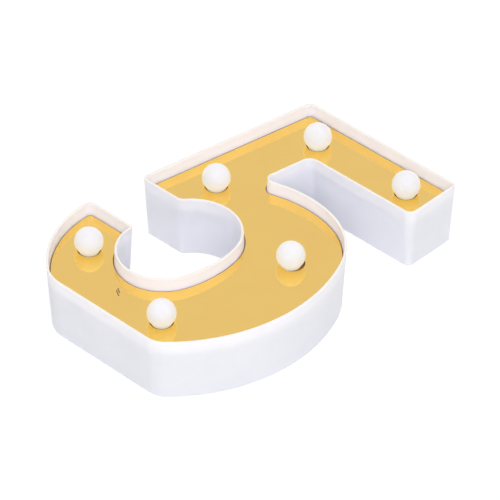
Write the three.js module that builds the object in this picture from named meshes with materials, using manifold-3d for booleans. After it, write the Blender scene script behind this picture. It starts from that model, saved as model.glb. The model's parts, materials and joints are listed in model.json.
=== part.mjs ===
// A light up marquee numeral: a deep white moulded tray in the outline of a five, lying on its back.
// A mirror sheet on a moulded carrier sits below the rim, with six hollow globes over small diodes.
// The back holds a battery bay with a snap door, a slide switch in a well and two keyholes.
// x runs across the numeral, y up it and z out of its face. All lengths are millimetres.

import * as THREE from 'three';
import { mergeVertices } from 'three/addons/utils/BufferGeometryUtils.js';
import Module from 'manifold-3d';

const wasm = await Module();
wasm.setup();

// Numeral and tray
const numeralHeight = 220;
const stemWidth = 42.8;
const barHeight = 39.6;
const caseWall = 1.4;
const caseFloor = 2;
const backEdge = 0.6;
const sharpestCorner = 0.4;
const wallDraft = THREE.MathUtils.degToRad(2.8);
const stemLean = THREE.MathUtils.degToRad(10.7);
const barEndLean = THREE.MathUtils.degToRad(1);

// Outline as shares of the numeral's height, measured from the foot of the bowl
const outlineShares = {
  stemTop: -0.0226,
  stemFoot: 0.4527,
  terminalTop: 0.294,
  barEnd: 0.4966,
  counterTop: { x: 0.1261, y: 0.381, radius: 0.1297 },
  counterSideRadius: 0.3143,
  counterFootRadius: 0.1236,
  terminalBack: { x: 0.1543, y: 0.2632, radius: 0.3085 },
  bowl: { x: 0.0622, y: 0.3647, radius: 0.4732 },
  shoulderRadius: 0.2403,
  crownRadius: 0.3576,
};
const counterSideAngle = THREE.MathUtils.degToRad(7.9);
const counterFootAngle = THREE.MathUtils.degToRad(-21.5);
const shoulderAngle = THREE.MathUtils.degToRad(22.4);
const crownAngle = THREE.MathUtils.degToRad(77.4);

// Corner rounding as shares of the numeral's height
const cornerShares = {
  stemTop: 0.0196,
  stemFoot: 0.0164,
  counterMouth: 0.0346,
  terminalTip: 0.0091,
  terminalBack: 0.0215,
  footLeft: 0.1012,
  footRight: 0.0702,
  notch: 0.0166,
  barInside: 0.0253,
  barEndLow: 0.0255,
  barEndHigh: 0.0143,
};

// Facets
const curveTolerance = 0.09;
const overrun = 1;
const seatGap = 0.2;
const sideGap = 0.3;

// Mirror sheet and carrier plate
const recessDepth = 8;
const mirrorThickness = 1;
const mirrorTape = 0.1;
const carrierThickness = 2;
const skirtDepth = 5;
const skirtWall = 1.2;
const socketRadius = 8.3;
const socketDepth = 6;

// Globes
const globeRadius = 8.3;
const globeWall = 1;
const globeRise = 6;
const neckRadius = 5.5;
const mirrorHoleMargin = 1.4;

// Diodes and their holders
const ledRadius = 2.5;
const ledLength = 8.6;
const ledFlangeRadius = 2.9;
const ledFlangeThickness = 1;
const ledLeadWidth = 0.5;
const ledLeadSpread = 2.54;
const ledLeadLength = 1.4;
const holderRadius = 8;
const holderFlange = 1.5;
const holderPlugLength = 5;

// Harness
const wireRadius = 0.65;
const wireGap = 0.3;
const wireHeadroom = 0.7;
const feedClimb = 3.2;

// Battery bay
const cellRadius = 7.25;
const cellLength = 50.5;
const cellNubRadius = 2.7;
const cellNubLength = 1.3;
const cellGap = 0.6;
const cellSideGap = 0.5;
const cellRoofGap = 0.4;
const springLength = 4;
const springWire = 0.35;
const springWideRadius = 3.3;
const springNarrowRadius = 2.2;
const contactThickness = 0.4;
const contactWidth = 9;
const contactFoot = 4.3;
const contactTab = 3;
const contactTabRise = 2;
const bayWall = 1.5;
const bayRoof = 1.3;
const cradleWidth = 6;

// Battery door
const doorThickness = 1.6;
const doorRecess = 0.3;
const doorTabWidth = 2.4;
const doorTabReach = 1.4;
const doorTabThickness = 1.2;
const doorTabRoot = 0.9;
const doorTabSlotHeight = 2.4;
const latchWidth = 4.6;
const latchLeg = 1;
const latchSpan = 3.6;
const latchHeight = 2.2;
const latchNose = 0.25;
const latchNoseHeight = 0.8;
const gripWidth = 9;
const gripLength = 3.5;
const gripDepth = 0.8;
const thumbRadius = 6;
const thumbDepth = 1.2;

// Slide switch
const wellLength = 15;
const wellWidth = 8;
const wellDepth = 2.2;
const wellRoof = 1.5;
const wellRim = 2;
const switchTravel = 4;
const switchBodyLength = 16;
const switchBodyWidth = 7.5;
const switchBodyHeight = 5;
const switchWall = 0.9;
const switchEarLength = 4.5;
const switchEarThickness = 1;
const switchTerminalWidth = 1;
const switchTerminalHeight = 2.5;
const switchTerminalPitch = 4;
const stemLength = 4;
const stemWide = 3;
const sliderPlateLength = 6.5;
const sliderPlateWidth = 4;
const sliderPlateThickness = 1.2;
const knobLength = 6;
const knobWidth = 5;
const knobThickness = 1.4;
const knobRidge = 0.4;
const switchScrewRadius = 0.9;
const switchScrewHead = 1.7;
const switchScrewHeadHeight = 1;
const switchScrewLength = 3.6;

// Keyholes
const keyholeHead = 5;
const keyholeSlot = 2.5;
const keyholeRun = 10;
const keyholePad = 1.2;
const keyholeMargin = 2;

// Case screws and their bosses
const screwRadius = 1.45;
const screwLength = 12;
const screwHeadRadius = 2.75;
const screwHeadHeight = 1.5;
const screwGap = 0.15;
const screwHeadSink = 0.2;
const bossRadius = 3.5;
const padRadius = 4.6;
const padRise = 1.5;

// Facet counts
const globeSides = 18;
const globeSteps = 9;
const roundSides = 20;
const smallSides = 12;
const tinySides = 8;
const wireSides = 5;
const harnessSteps = 44;
const feedSteps = 12;
const springSides = 5;
const springTurns = 4;
const springStepsPerTurn = 8;

// Levels above the surface that the numeral lies on, from the battery door up to the rim
const doorTop = doorRecess + doorThickness;
const cellLevel = doorTop + cellRoofGap + cellRadius;
const bayCeiling = cellLevel + cellRadius + cellRoofGap;
const bayTop = bayCeiling + bayRoof;
const harnessLevel = bayTop + wireHeadroom + wireRadius;
const leadBottom = harnessLevel + wireRadius + wireGap;
const holderBottom = leadBottom + ledLeadLength;
const holderTop = holderBottom + holderFlange;
const socketBottom = holderTop + seatGap;
const carrierBottom = socketBottom + socketDepth;
const skirtBottom = carrierBottom - skirtDepth;
const carrierTop = carrierBottom + carrierThickness;
const mirrorBottom = carrierTop + mirrorTape;
const mirrorTop = mirrorBottom + mirrorThickness;
const caseDepth = mirrorTop + recessDepth;
const padTop = caseFloor + padRise;
const bossBottom = padTop + seatGap;
const wellTop = wellDepth + wellRoof;
const switchBottom = wellTop + seatGap;

const share = (part) => part * numeralHeight;
const taper = (z) => (caseDepth - z) * Math.tan(wallDraft);
const heading = (angle) => new THREE.Vector2(Math.cos(angle), Math.sin(angle));

// A straight edge through a point. The numeral lies on its left side.
class StraightEdge {
  constructor(point, angle) {
    this.point = point;
    this.angle = angle;
  }
  inset(distance) {
    const inward = heading(this.angle + Math.PI / 2);
    return new StraightEdge(this.point.clone().addScaledVector(inward, distance), this.angle);
  }
  foot(place) {
    const run = heading(this.angle);
    return this.point.clone().addScaledVector(run, place.clone().sub(this.point).dot(run));
  }
}

// A round edge about a centre, bulging out of the numeral or into it
class RoundEdge {
  constructor(centre, radius, bulges) {
    this.centre = centre;
    this.radius = radius;
    this.bulges = bulges;
  }
  inset(distance) {
    const radius = this.bulges ? this.radius - distance : this.radius + distance;
    return new RoundEdge(this.centre, radius, this.bulges);
  }
  foot(place) {
    const away = place.clone().sub(this.centre).normalize();
    return this.centre.clone().addScaledVector(away, this.radius);
  }
}

const nearest = (places, hint) => places.sort((a, b) => a.distanceTo(hint) - b.distanceTo(hint))[0];

// Where two edges cross, nearest to a hint
function crossing(a, b, hint) {
  if (a instanceof RoundEdge && b instanceof StraightEdge) return crossing(b, a, hint);
  if (a instanceof StraightEdge && b instanceof StraightEdge) {
    const runA = heading(a.angle);
    const runB = heading(b.angle);
    const between = b.point.clone().sub(a.point);
    return a.point.clone().addScaledVector(runA, between.cross(runB) / runA.cross(runB));
  }
  if (a instanceof StraightEdge) {
    const foot = a.foot(b.centre);
    const reach = Math.sqrt(Math.max(b.radius ** 2 - foot.distanceToSquared(b.centre), 0));
    const run = heading(a.angle);
    return nearest([1, -1].map((side) => foot.clone().addScaledVector(run, side * reach)), hint);
  }
  const between = b.centre.clone().sub(a.centre);
  const distance = between.length();
  const along = (distance ** 2 + a.radius ** 2 - b.radius ** 2) / (2 * distance);
  const reach = Math.sqrt(Math.max(a.radius ** 2 - along ** 2, 0));
  const run = between.normalize();
  const across = new THREE.Vector2(-run.y, run.x);
  const middle = a.centre.clone().addScaledVector(run, along);
  return nearest([1, -1].map((side) => middle.clone().addScaledVector(across, side * reach)), hint);
}

const barLow = numeralHeight - barHeight;
const stemTopX = share(outlineShares.stemTop);
const stemRight = stemTopX + stemWidth / Math.cos(stemLean);
const stemLeftAt = (y) => stemTopX - (numeralHeight - y) * Math.tan(stemLean);
const stemRightAt = (y) => stemRight - (numeralHeight - y) * Math.tan(stemLean);

// The round of the bowl's upper right, which starts where the bowl's large arc ends
function shoulderArc() {
  const { bowl } = outlineShares;
  const radius = share(outlineShares.shoulderRadius);
  const bowlCentre = new THREE.Vector2(share(bowl.x), share(bowl.y));
  const centre = bowlCentre.addScaledVector(heading(shoulderAngle), share(bowl.radius) - radius);
  return { centre, radius };
}

// The edges of the five, anticlockwise from the top, each with the corner or the smooth join after it
function numeralEdges() {
  const at = (x, y) => new THREE.Vector2(x, y);
  const { counterTop, terminalBack, bowl } = outlineShares;
  const counterTopCentre = at(share(counterTop.x), share(counterTop.y));
  const counterTopRadius = share(counterTop.radius);
  const counterSideRadius = share(outlineShares.counterSideRadius);
  const counterFootRadius = share(outlineShares.counterFootRadius);
  const counterSideRun = heading(counterSideAngle);
  const counterFootRun = heading(counterFootAngle);
  const counterSideCentre = counterTopCentre
    .clone()
    .addScaledVector(counterSideRun, counterTopRadius - counterSideRadius);
  const counterFootCentre = counterSideCentre
    .clone()
    .addScaledVector(counterFootRun, counterSideRadius - counterFootRadius);
  const bowlCentre = at(share(bowl.x), share(bowl.y));
  const bowlRadius = share(bowl.radius);
  const { centre: shoulderCentre, radius: shoulderRadius } = shoulderArc();
  const crownRadius = share(outlineShares.crownRadius);
  const shoulderRun = heading(shoulderAngle);
  const crownRun = heading(crownAngle);
  const crownCentre = shoulderCentre.clone().addScaledVector(crownRun, shoulderRadius - crownRadius);
  const terminalCentre = at(share(terminalBack.x), share(terminalBack.y));
  const terminalRadius = share(terminalBack.radius);
  const terminalTop = share(outlineShares.terminalTop);
  const stemFoot = share(outlineShares.stemFoot);
  const barEnd = share(outlineShares.barEnd);
  const upStem = Math.PI / 2 - stemLean;
  const upEnd = Math.PI / 2 - barEndLean;
  const counterMouthX = counterTopCentre.x - counterTopRadius;
  const corner = (part, x, y) => ({ radius: share(part), hint: at(x, y) });
  const hollow = (part, x, y) => ({ radius: -share(part), hint: at(x, y) });
  const smooth = (centre, run, radius) => ({ join: centre.clone().addScaledVector(run, radius) });
  return [
    [new StraightEdge(at(0, numeralHeight), Math.PI), corner(cornerShares.stemTop, stemTopX, numeralHeight)],
    [
      new StraightEdge(at(stemTopX, numeralHeight), upStem - Math.PI),
      corner(cornerShares.stemFoot, stemLeftAt(stemFoot), stemFoot),
    ],
    [new StraightEdge(at(0, stemFoot), 0), corner(cornerShares.counterMouth, counterMouthX, stemFoot)],
    [
      new RoundEdge(counterTopCentre, counterTopRadius, false),
      smooth(counterTopCentre, counterSideRun, counterTopRadius),
    ],
    [
      new RoundEdge(counterSideCentre, counterSideRadius, false),
      smooth(counterSideCentre, counterFootRun, counterSideRadius),
    ],
    [
      new RoundEdge(counterFootCentre, counterFootRadius, false),
      corner(cornerShares.terminalTip, counterFootCentre.x - counterFootRadius, terminalTop),
    ],
    [
      new StraightEdge(at(0, terminalTop), Math.PI),
      corner(cornerShares.terminalBack, terminalCentre.x - terminalRadius, terminalTop),
    ],
    [
      new RoundEdge(terminalCentre, terminalRadius, true),
      corner(cornerShares.footLeft, stemLeftAt(stemFoot), 0),
    ],
    [new StraightEdge(at(0, 0), 0), corner(cornerShares.footRight, bowlCentre.x + bowlRadius, 0)],
    [new RoundEdge(bowlCentre, bowlRadius, true), smooth(bowlCentre, shoulderRun, bowlRadius)],
    [new RoundEdge(shoulderCentre, shoulderRadius, true), smooth(shoulderCentre, crownRun, shoulderRadius)],
    [
      new RoundEdge(crownCentre, crownRadius, true),
      hollow(cornerShares.notch, stemRightAt(crownCentre.y + crownRadius), crownCentre.y + crownRadius),
    ],
    [
      new StraightEdge(at(stemRight, numeralHeight), upStem),
      hollow(cornerShares.barInside, stemRightAt(barLow), barLow),
    ],
    [new StraightEdge(at(0, barLow), 0), corner(cornerShares.barEndLow, barEnd, barLow)],
    [
      new StraightEdge(at(barEnd, numeralHeight), upEnd),
      corner(cornerShares.barEndHigh, barEnd, numeralHeight),
    ],
  ];
}

// An arc from one place to another about a centre, as its centre, radius, first angle and sweep
function arcBetween(centre, from, to, anticlockwise) {
  const first = from.clone().sub(centre).angle();
  const turn = to.clone().sub(centre).angle() - first;
  const fullTurn = 2 * Math.PI;
  const sweep = anticlockwise ? (turn + fullTurn) % fullTurn : -((fullTurn - turn) % fullTurn);
  return { centre, radius: from.distanceTo(centre), first, sweep };
}

// The outline moved inwards, as a chain of places and arcs in order
function outlineChain(inset) {
  const edges = numeralEdges();
  const moved = edges.map(([edge]) => edge.inset(inset));
  const corners = edges.map(([, corner], index) => {
    const before = moved[index];
    const after = moved[(index + 1) % moved.length];
    if (corner.join) return { from: before.foot(corner.join), to: after.foot(corner.join) };
    const rounded = Math.max(corner.radius - inset, sharpestCorner);
    const radius = corner.radius > 0 ? rounded : corner.radius - inset;
    const centre = crossing(before.inset(radius), after.inset(radius), corner.hint);
    return { from: before.foot(centre), to: after.foot(centre), centre, anticlockwise: radius > 0 };
  });
  const chain = [];
  moved.forEach((edge, index) => {
    const start = corners[(index + moved.length - 1) % moved.length].to;
    const end = corners[index].from;
    if (edge instanceof RoundEdge) chain.push(arcBetween(edge.centre, start, end, edge.bulges));
    else chain.push({ place: start });
    const { centre, from, to, anticlockwise } = corners[index];
    if (centre) chain.push(arcBetween(centre, from, to, anticlockwise));
  });
  return chain;
}

// Steps along each link of the chain, the same for every inset so that rings can be joined
const chainSteps = outlineChain(0).map((link) => {
  if (link.place) return 1;
  const step = 2 * Math.acos(1 - curveTolerance / link.radius);
  return Math.max(3, Math.ceil(Math.abs(link.sweep) / step));
});

function outlineRing(inset) {
  return outlineChain(inset).flatMap((link, index) => {
    if (link.place) return [link.place];
    const steps = chainSteps[index];
    return Array.from({ length: steps }, (_, step) =>
      link.centre.clone().addScaledVector(heading(link.first + (link.sweep * step) / steps), link.radius),
    );
  });
}

// A closed geometry with shared corners merged and flat triangles left out
function closed(geometry) {
  const bare = new THREE.BufferGeometry();
  bare.setAttribute('position', geometry.getAttribute('position'));
  bare.setIndex(geometry.getIndex());
  const merged = mergeVertices(bare);
  const index = Array.from(merged.getIndex().array);
  const kept = [];
  const corners = 3;
  for (let first = 0; first < index.length; first += corners) {
    const [a, b, c] = index.slice(first, first + corners);
    if (a !== b && b !== c && c !== a) kept.push(a, b, c);
  }
  merged.setIndex(kept);
  return merged;
}

// A solid that joins and cuts, from a closed geometry
function solid(geometry) {
  const merged = closed(geometry);
  const vertProperties = new Float32Array(merged.getAttribute('position').array);
  const triVerts = new Uint32Array(merged.getIndex().array);
  return new wasm.Manifold(new wasm.Mesh({ numProp: 3, vertProperties, triVerts }));
}

// The geometry of a joined or cut solid
function geometryOf(body) {
  const { vertProperties, triVerts } = body.getMesh();
  const geometry = new THREE.BufferGeometry();
  geometry.setAttribute('position', new THREE.BufferAttribute(new Float32Array(vertProperties), 3));
  geometry.setIndex(Array.from(triVerts));
  return geometry;
}

// A closed shell through outline rings at rising levels
function outlineLoft(levels) {
  const rings = levels.map(({ inset }) => outlineRing(inset));
  const count = rings[0].length;
  const places = rings.flatMap((ring, level) => ring.flatMap(({ x, y }) => [x, y, levels[level].z]));
  const faces = [];
  for (let level = 0; level < rings.length - 1; level += 1) {
    for (let step = 0; step < count; step += 1) {
      const next = (step + 1) % count;
      const low = level * count;
      const high = low + count;
      faces.push(low + step, low + next, high + next, low + step, high + next, high + step);
    }
  }
  const cap = (ring) => THREE.ShapeUtils.triangulateShape(ring, []);
  const top = (rings.length - 1) * count;
  cap(rings[0]).forEach(([a, b, c]) => faces.push(c, b, a));
  cap(rings[rings.length - 1]).forEach(([a, b, c]) => faces.push(top + a, top + b, top + c));
  const geometry = new THREE.BufferGeometry();
  geometry.setAttribute('position', new THREE.Float32BufferAttribute(places, 3));
  geometry.setIndex(faces);
  return geometry;
}

// A shape turned about an upright axis through a place, from radius and level pairs
function turned(place, profile, sides) {
  const points = profile.map(([radius, level]) => new THREE.Vector2(radius, level));
  return new THREE.LatheGeometry(points, sides).rotateX(Math.PI / 2).translate(place.x, place.y, 0);
}

// An upright round post through a place
function post(place, low, high, radius, sides = smallSides) {
  return turned(place, [[0, low], [radius, low], [radius, high], [0, high]], sides);
}

// A block between two corners
function block(low, high) {
  const size = high.map((value, axis) => value - low[axis]);
  const middle = high.map((value, axis) => (value + low[axis]) / 2);
  return new THREE.BoxGeometry(...size).translate(...middle);
}

const join = (...geometries) => geometries.map(solid).reduce((whole, next) => whole.add(next));

// Places of the lamps along the strokes, as shares of the height
const lampShares = [
  [-0.0441, 0.18],
  [0.2909, 0.1036],
  [0.3714, 0.4945],
  [0.0109, 0.5964],
];
const barMiddle = numeralHeight - barHeight / 2;
const cornerLampShare = 0.0855;
const barLampShare = 0.3927;
const barLampRise = 1.4;
const lampPlaces = [
  ...lampShares.map(([x, y]) => new THREE.Vector2(share(x), share(y))),
  new THREE.Vector2(share(cornerLampShare), barMiddle),
  new THREE.Vector2(share(barLampShare), barMiddle + barLampRise),
];

// Battery bay: two cells side by side, in the widest stretch of the bowl
const bayShares = [0.3727, 0.3091];
const bay = new THREE.Vector2(share(bayShares[0]), share(bayShares[1]));
const cellSpread = cellRadius + cellGap / 2;
const bayHalfWidth = cellSpread + cellRadius + cellSideGap;
const contactSpace = contactThickness + 2 * sideGap;
const bayHalfLength = (cellLength + springLength) / 2 + contactSpace;
const bayLow = bay.y - bayHalfLength;
const bayHigh = bay.y + bayHalfLength;

// Switch: in the arm between the stem and the bowl
const switchShares = [0.2364, 0.5636];
const switchPlace = new THREE.Vector2(share(switchShares[0]), share(switchShares[1]));
const switchPadLength = switchBodyLength + 2 * switchEarLength + wellRim;
const switchPadWidth = wellWidth + 2 * wellRim;
const switchScrewSpread = (switchBodyLength + switchEarLength) / 2;

// Keyholes: two in the bar, so that the numeral hangs level
const keyholeShares = [0.1727, 0.3];
const keyholeLow = barMiddle - keyholeRun / 2;
const keyholes = keyholeShares.map((part) => new THREE.Vector2(share(part), keyholeLow));

// Case screws: near the ends and bends of the strokes, below the bay and on the bowl's shoulder
const screwFootShares = [
  [-0.0864, 0.25],
  [0.1273, 0.0545],
  [0.1091, 0.5545],
];
const bayScrewShare = 0.7;
const bayScrewGap = 3;
const bossEdgeGap = 8.5;
const shoulderScrewAngle = THREE.MathUtils.degToRad(25);
const shoulder = shoulderArc();
const screwPlaces = [
  ...screwFootShares.map(([x, y]) => new THREE.Vector2(share(x), share(y))),
  new THREE.Vector2(bay.x + bayHalfWidth * bayScrewShare, bayLow - bayWall - bossRadius - bayScrewGap),
  shoulder.centre.clone().addScaledVector(heading(shoulderScrewAngle), shoulder.radius - bossEdgeGap),
  new THREE.Vector2(
    stemLeftAt(share(outlineShares.stemFoot)) + bossEdgeGap + bossRadius,
    share(outlineShares.stemFoot) + bossEdgeGap + bossRadius / 2,
  ),
  new THREE.Vector2(stemTopX + bossEdgeGap, numeralHeight - bossEdgeGap),
  new THREE.Vector2(share(outlineShares.barEnd) - bossEdgeGap, barLow + bossEdgeGap),
];

// The harness passes under every diode and over the bay, from the bar's end down to the terminal
const spineShares = [0.2091, 0.6045];
const [terminalLamp, footLamp, bowlLamp, stemLamp, cornerLamp, barLamp] = lampPlaces;
const armBend = new THREE.Vector2(share(spineShares[0]), share(spineShares[1]));
const bayEntry = new THREE.Vector2(bay.x, bayHigh);
const bayExit = new THREE.Vector2(bay.x, bayLow);
const spinePlaces = [
  barLamp,
  cornerLamp,
  stemLamp,
  armBend,
  bowlLamp,
  bayEntry,
  bayExit,
  footLamp,
  terminalLamp,
];
const spineKnots = spinePlaces.map(({ x, y }) => new THREE.Vector3(x, y, harnessLevel));
const spine = new THREE.CatmullRomCurve3(spineKnots);

// How far along the middle line a place is, or a share of the way on to the next
function alongSpine(place, onwardShare = 0) {
  return (spinePlaces.indexOf(place) + onwardShare) / (spinePlaces.length - 1);
}

// A place beside the harness's middle line
function besideSpine(t, distance) {
  const run = spine.getTangent(t);
  const across = new THREE.Vector3(-run.y, run.x, 0);
  return spine.getPoint(t).addScaledVector(across, distance);
}

// The white tray with its bay, switch well, keyhole pads and screw pads
function caseTray() {
  const outside = outlineLoft([
    { inset: taper(0) + backEdge, z: 0 },
    { inset: taper(backEdge), z: backEdge },
    { inset: 0, z: caseDepth },
  ]);
  const inside = outlineLoft([
    { inset: taper(caseFloor) + caseWall, z: caseFloor },
    { inset: taper(caseDepth + overrun) + caseWall, z: caseDepth + overrun },
  ]);
  const bayBlock = block(
    [bay.x - bayHalfWidth - bayWall, bayLow - bayWall, backEdge],
    [bay.x + bayHalfWidth + bayWall, bayHigh + bayWall, bayTop],
  );
  const switchPad = block(
    [switchPlace.x - switchPadLength / 2, switchPlace.y - switchPadWidth / 2, backEdge],
    [switchPlace.x + switchPadLength / 2, switchPlace.y + switchPadWidth / 2, wellTop],
  );
  const keyholePads = keyholes.map(({ x, y }) =>
    block(
      [x - keyholeHead - keyholeMargin, y - keyholeHead - keyholeMargin, backEdge],
      [x + keyholeHead + keyholeMargin, y + keyholeRun + keyholeSlot + keyholeMargin, caseFloor + keyholePad],
    ),
  );
  const screwPads = screwPlaces.map((place) => post(place, backEdge, padTop, padRadius));
  let tray = solid(outside).subtract(solid(inside));
  [bayBlock, switchPad, ...keyholePads, ...screwPads].forEach((piece) => {
    tray = tray.add(solid(piece));
  });
  [...bayCuts(), ...switchCuts(), ...keyholeCuts(), ...screwCuts()].forEach((cut) => {
    tray = tray.subtract(solid(cut));
  });
  return geometryOf(tray.add(bayCradle()));
}

// The bay's hollow, the slots for the door's tabs and the contacts' tabs, and the thumb scoop
function bayCuts() {
  const hollow = block(
    [bay.x - bayHalfWidth, bayLow, -overrun],
    [bay.x + bayHalfWidth, bayHigh, bayCeiling],
  );
  const tabSlots = doorTabMiddles().map((x) =>
    block(
      [x - doorTabWidth / 2 - sideGap, bayLow - doorTabReach - sideGap, caseFloor],
      [x + doorTabWidth / 2 + sideGap, bayLow + overrun, caseFloor + doorTabSlotHeight],
    ),
  );
  const contactSlots = [-1, 1].map((side) =>
    block(
      [bay.x + side * cellSpread - contactTab / 2 - sideGap, bayHigh - contactSpace, bayCeiling - overrun],
      [bay.x + side * cellSpread + contactTab / 2 + sideGap, bayHigh, bayTop + overrun],
    ),
  );
  const thumb = post(new THREE.Vector2(bay.x, bayHigh), -overrun, thumbDepth, thumbRadius, roundSides);
  return [hollow, thumb, ...tabSlots, ...contactSlots];
}

// The rib under the bay's roof that keeps the cells apart
function bayCradle() {
  const rib = block(
    [bay.x - cradleWidth / 2, bayLow + bayWall + springLength, cellLevel + cellRadius / 3],
    [bay.x + cradleWidth / 2, bayHigh - bayWall - springLength, bayTop],
  );
  const radius = cellRadius + sideGap;
  return [-1, 1].reduce((body, side) => {
    const groove = new THREE.CylinderGeometry(radius, radius, 2 * bayHalfLength, roundSides);
    groove.translate(bay.x + side * cellSpread, bay.y, cellLevel);
    return body.subtract(solid(groove));
  }, solid(rib));
}

// The well for the switch's knob, its slot and the blind holes of the switch screws
function switchCuts() {
  const { x, y } = switchPlace;
  const slotHalf = (stemLength + switchTravel) / 2 + sideGap;
  const well = block(
    [x - wellLength / 2, y - wellWidth / 2, -overrun],
    [x + wellLength / 2, y + wellWidth / 2, wellDepth],
  );
  const slot = block(
    [x - slotHalf, y - stemWide / 2 - sideGap, wellDepth - overrun],
    [x + slotHalf, y + stemWide / 2 + sideGap, wellTop + overrun],
  );
  const pilots = switchScrewPlaces().map((place) =>
    post(place, switchScrewTip() - sideGap, wellTop + overrun, switchScrewRadius + screwGap),
  );
  return [well, slot, ...pilots];
}

// A keyhole: the hole for a screw's head and the slot above it
function keyholeCuts() {
  return keyholes.flatMap((place) => {
    const top = new THREE.Vector2(place.x, place.y + keyholeRun);
    const through = caseFloor + keyholePad + overrun;
    const slot = block(
      [place.x - keyholeSlot, place.y, -overrun],
      [place.x + keyholeSlot, top.y, through],
    );
    return [
      post(place, -overrun, through, keyholeHead, roundSides),
      post(top, -overrun, through, keyholeSlot, roundSides),
      slot,
    ];
  });
}

function screwCuts() {
  return screwPlaces.flatMap((place) => [
    post(place, -overrun, screwHeadSink + screwHeadHeight + screwGap, screwHeadRadius + sideGap),
    post(place, 0, padTop + overrun, screwRadius + sideGap),
  ]);
}

// The gold sheet, with a hole for each globe's neck
function mirrorSheet() {
  const sheet = outlineLoft([
    { inset: taper(mirrorBottom) + caseWall + sideGap, z: mirrorBottom },
    { inset: taper(mirrorTop) + caseWall + sideGap, z: mirrorTop },
  ]);
  const holeRadius = neckRadius + mirrorHoleMargin;
  const holes = lampPlaces.map((place) =>
    post(place, mirrorBottom - overrun, mirrorTop + overrun, holeRadius, roundSides),
  );
  return geometryOf(holes.reduce((body, hole) => body.subtract(solid(hole)), solid(sheet)));
}

// The moulded plate behind the mirror: a skirt round its edge, a socket for each globe and the screw bosses
function carrierPlate() {
  const outside = outlineLoft([
    { inset: taper(skirtBottom) + caseWall + sideGap, z: skirtBottom },
    { inset: taper(carrierTop) + caseWall + sideGap, z: carrierTop },
  ]);
  const inside = outlineLoft([
    { inset: taper(skirtBottom) + caseWall + sideGap + skirtWall, z: skirtBottom - overrun },
    { inset: taper(carrierBottom) + caseWall + sideGap + skirtWall, z: carrierBottom },
  ]);
  let plate = solid(outside).subtract(solid(inside));
  const bossJoin = carrierBottom + carrierThickness / 2;
  lampPlaces.forEach((place) => {
    plate = plate.add(solid(post(place, socketBottom, bossJoin, socketRadius)));
  });
  screwPlaces.forEach((place) => {
    plate = plate.add(solid(post(place, bossBottom, bossJoin, bossRadius)));
  });
  lampPlaces.forEach((place) => {
    const bore = post(place, socketBottom - overrun, carrierTop + overrun, neckRadius + sideGap);
    plate = plate.subtract(solid(bore));
  });
  screwPlaces.forEach((place) => {
    const pilot = post(place, bossBottom - overrun, screwTip() + sideGap, screwRadius + screwGap);
    plate = plate.subtract(solid(pilot));
  });
  return geometryOf(plate);
}

// A hollow globe whose neck goes down through the mirror into its socket
function globe(place) {
  const centre = mirrorTop + globeRise;
  const innerRadius = globeRadius - globeWall;
  const innerNeck = neckRadius - globeWall;
  const outerFoot = Math.asin(neckRadius / globeRadius);
  const innerFoot = Math.asin(innerNeck / innerRadius);
  const ball = (radius, foot, steps) =>
    Array.from({ length: steps + 1 }, (_, step) => {
      const angle = ((Math.PI - foot) * step) / steps;
      return [radius * Math.sin(angle), centre + radius * Math.cos(angle)];
    });
  const outer = ball(globeRadius, outerFoot, globeSteps);
  const inner = ball(innerRadius, innerFoot, globeSteps / 3);
  outer[0][0] = 0;
  inner[0][0] = 0;
  const rim = [[neckRadius, socketBottom], [innerNeck, socketBottom]];
  return turned(place, [...outer, ...rim, ...inner.reverse()].reverse(), globeSides);
}

// A round diode with a flange and two leads across the harness
function diode(place, across) {
  const flangeLow = holderBottom + seatGap;
  const flangeHigh = flangeLow + ledFlangeThickness;
  const tip = flangeLow + ledLength;
  const domeSteps = 4;
  const dome = Array.from({ length: domeSteps + 1 }, (_, step) => {
    const angle = (Math.PI / 2) * (step / domeSteps);
    return [ledRadius * Math.cos(angle), tip - ledRadius + ledRadius * Math.sin(angle)];
  });
  dome[domeSteps][0] = 0;
  const profile = [[0, flangeLow], [ledFlangeRadius, flangeLow], [ledFlangeRadius, flangeHigh]];
  const lens = turned(place, [...profile, [ledRadius, flangeHigh], ...dome], tinySides);
  const leads = [-1, 1].map((side) => {
    const x = place.x + (across.x * side * ledLeadSpread) / 2;
    const y = place.y + (across.y * side * ledLeadSpread) / 2;
    const half = ledLeadWidth / 2;
    return block([x - half, y - half, leadBottom], [x + half, y + half, flangeLow + ledFlangeThickness / 2]);
  });
  return geometryOf(join(lens, ...leads));
}

// The plug that closes a globe's neck and holds its diode
function ledHolder(place) {
  const plugRadius = neckRadius - globeWall - seatGap;
  const plugTop = holderTop + holderPlugLength;
  const bore = ledRadius + seatGap;
  const seat = ledFlangeRadius + seatGap;
  const seatTop = holderBottom + ledFlangeThickness + 2 * seatGap;
  const profile = [
    [seat, holderBottom],
    [holderRadius, holderBottom],
    [holderRadius, holderTop],
    [plugRadius, holderTop],
    [plugRadius, plugTop],
    [bore, plugTop],
    [bore, seatTop],
    [seat, seatTop],
    [seat, holderBottom],
  ];
  return turned(place, profile, smallSides);
}

// A wire along a path, with flat ends
function wire(path, steps) {
  const section = new THREE.Shape();
  for (let side = 0; side < wireSides; side += 1) {
    const corner = heading((2 * Math.PI * side) / wireSides).multiplyScalar(wireRadius);
    if (side === 0) section.moveTo(corner.x, corner.y);
    else section.lineTo(corner.x, corner.y);
  }
  return new THREE.ExtrudeGeometry(section, { steps, extrudePath: path, bevelEnabled: false });
}

// One of the two long wires of the harness, beside the middle line
function harnessWire(side) {
  const knots = (spinePlaces.length - 1) * 4;
  const places = Array.from({ length: knots + 1 }, (_, knot) =>
    besideSpine(knot / knots, (side * ledLeadSpread) / 2),
  );
  return wire(new THREE.CatmullRomCurve3(places), harnessSteps);
}

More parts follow.
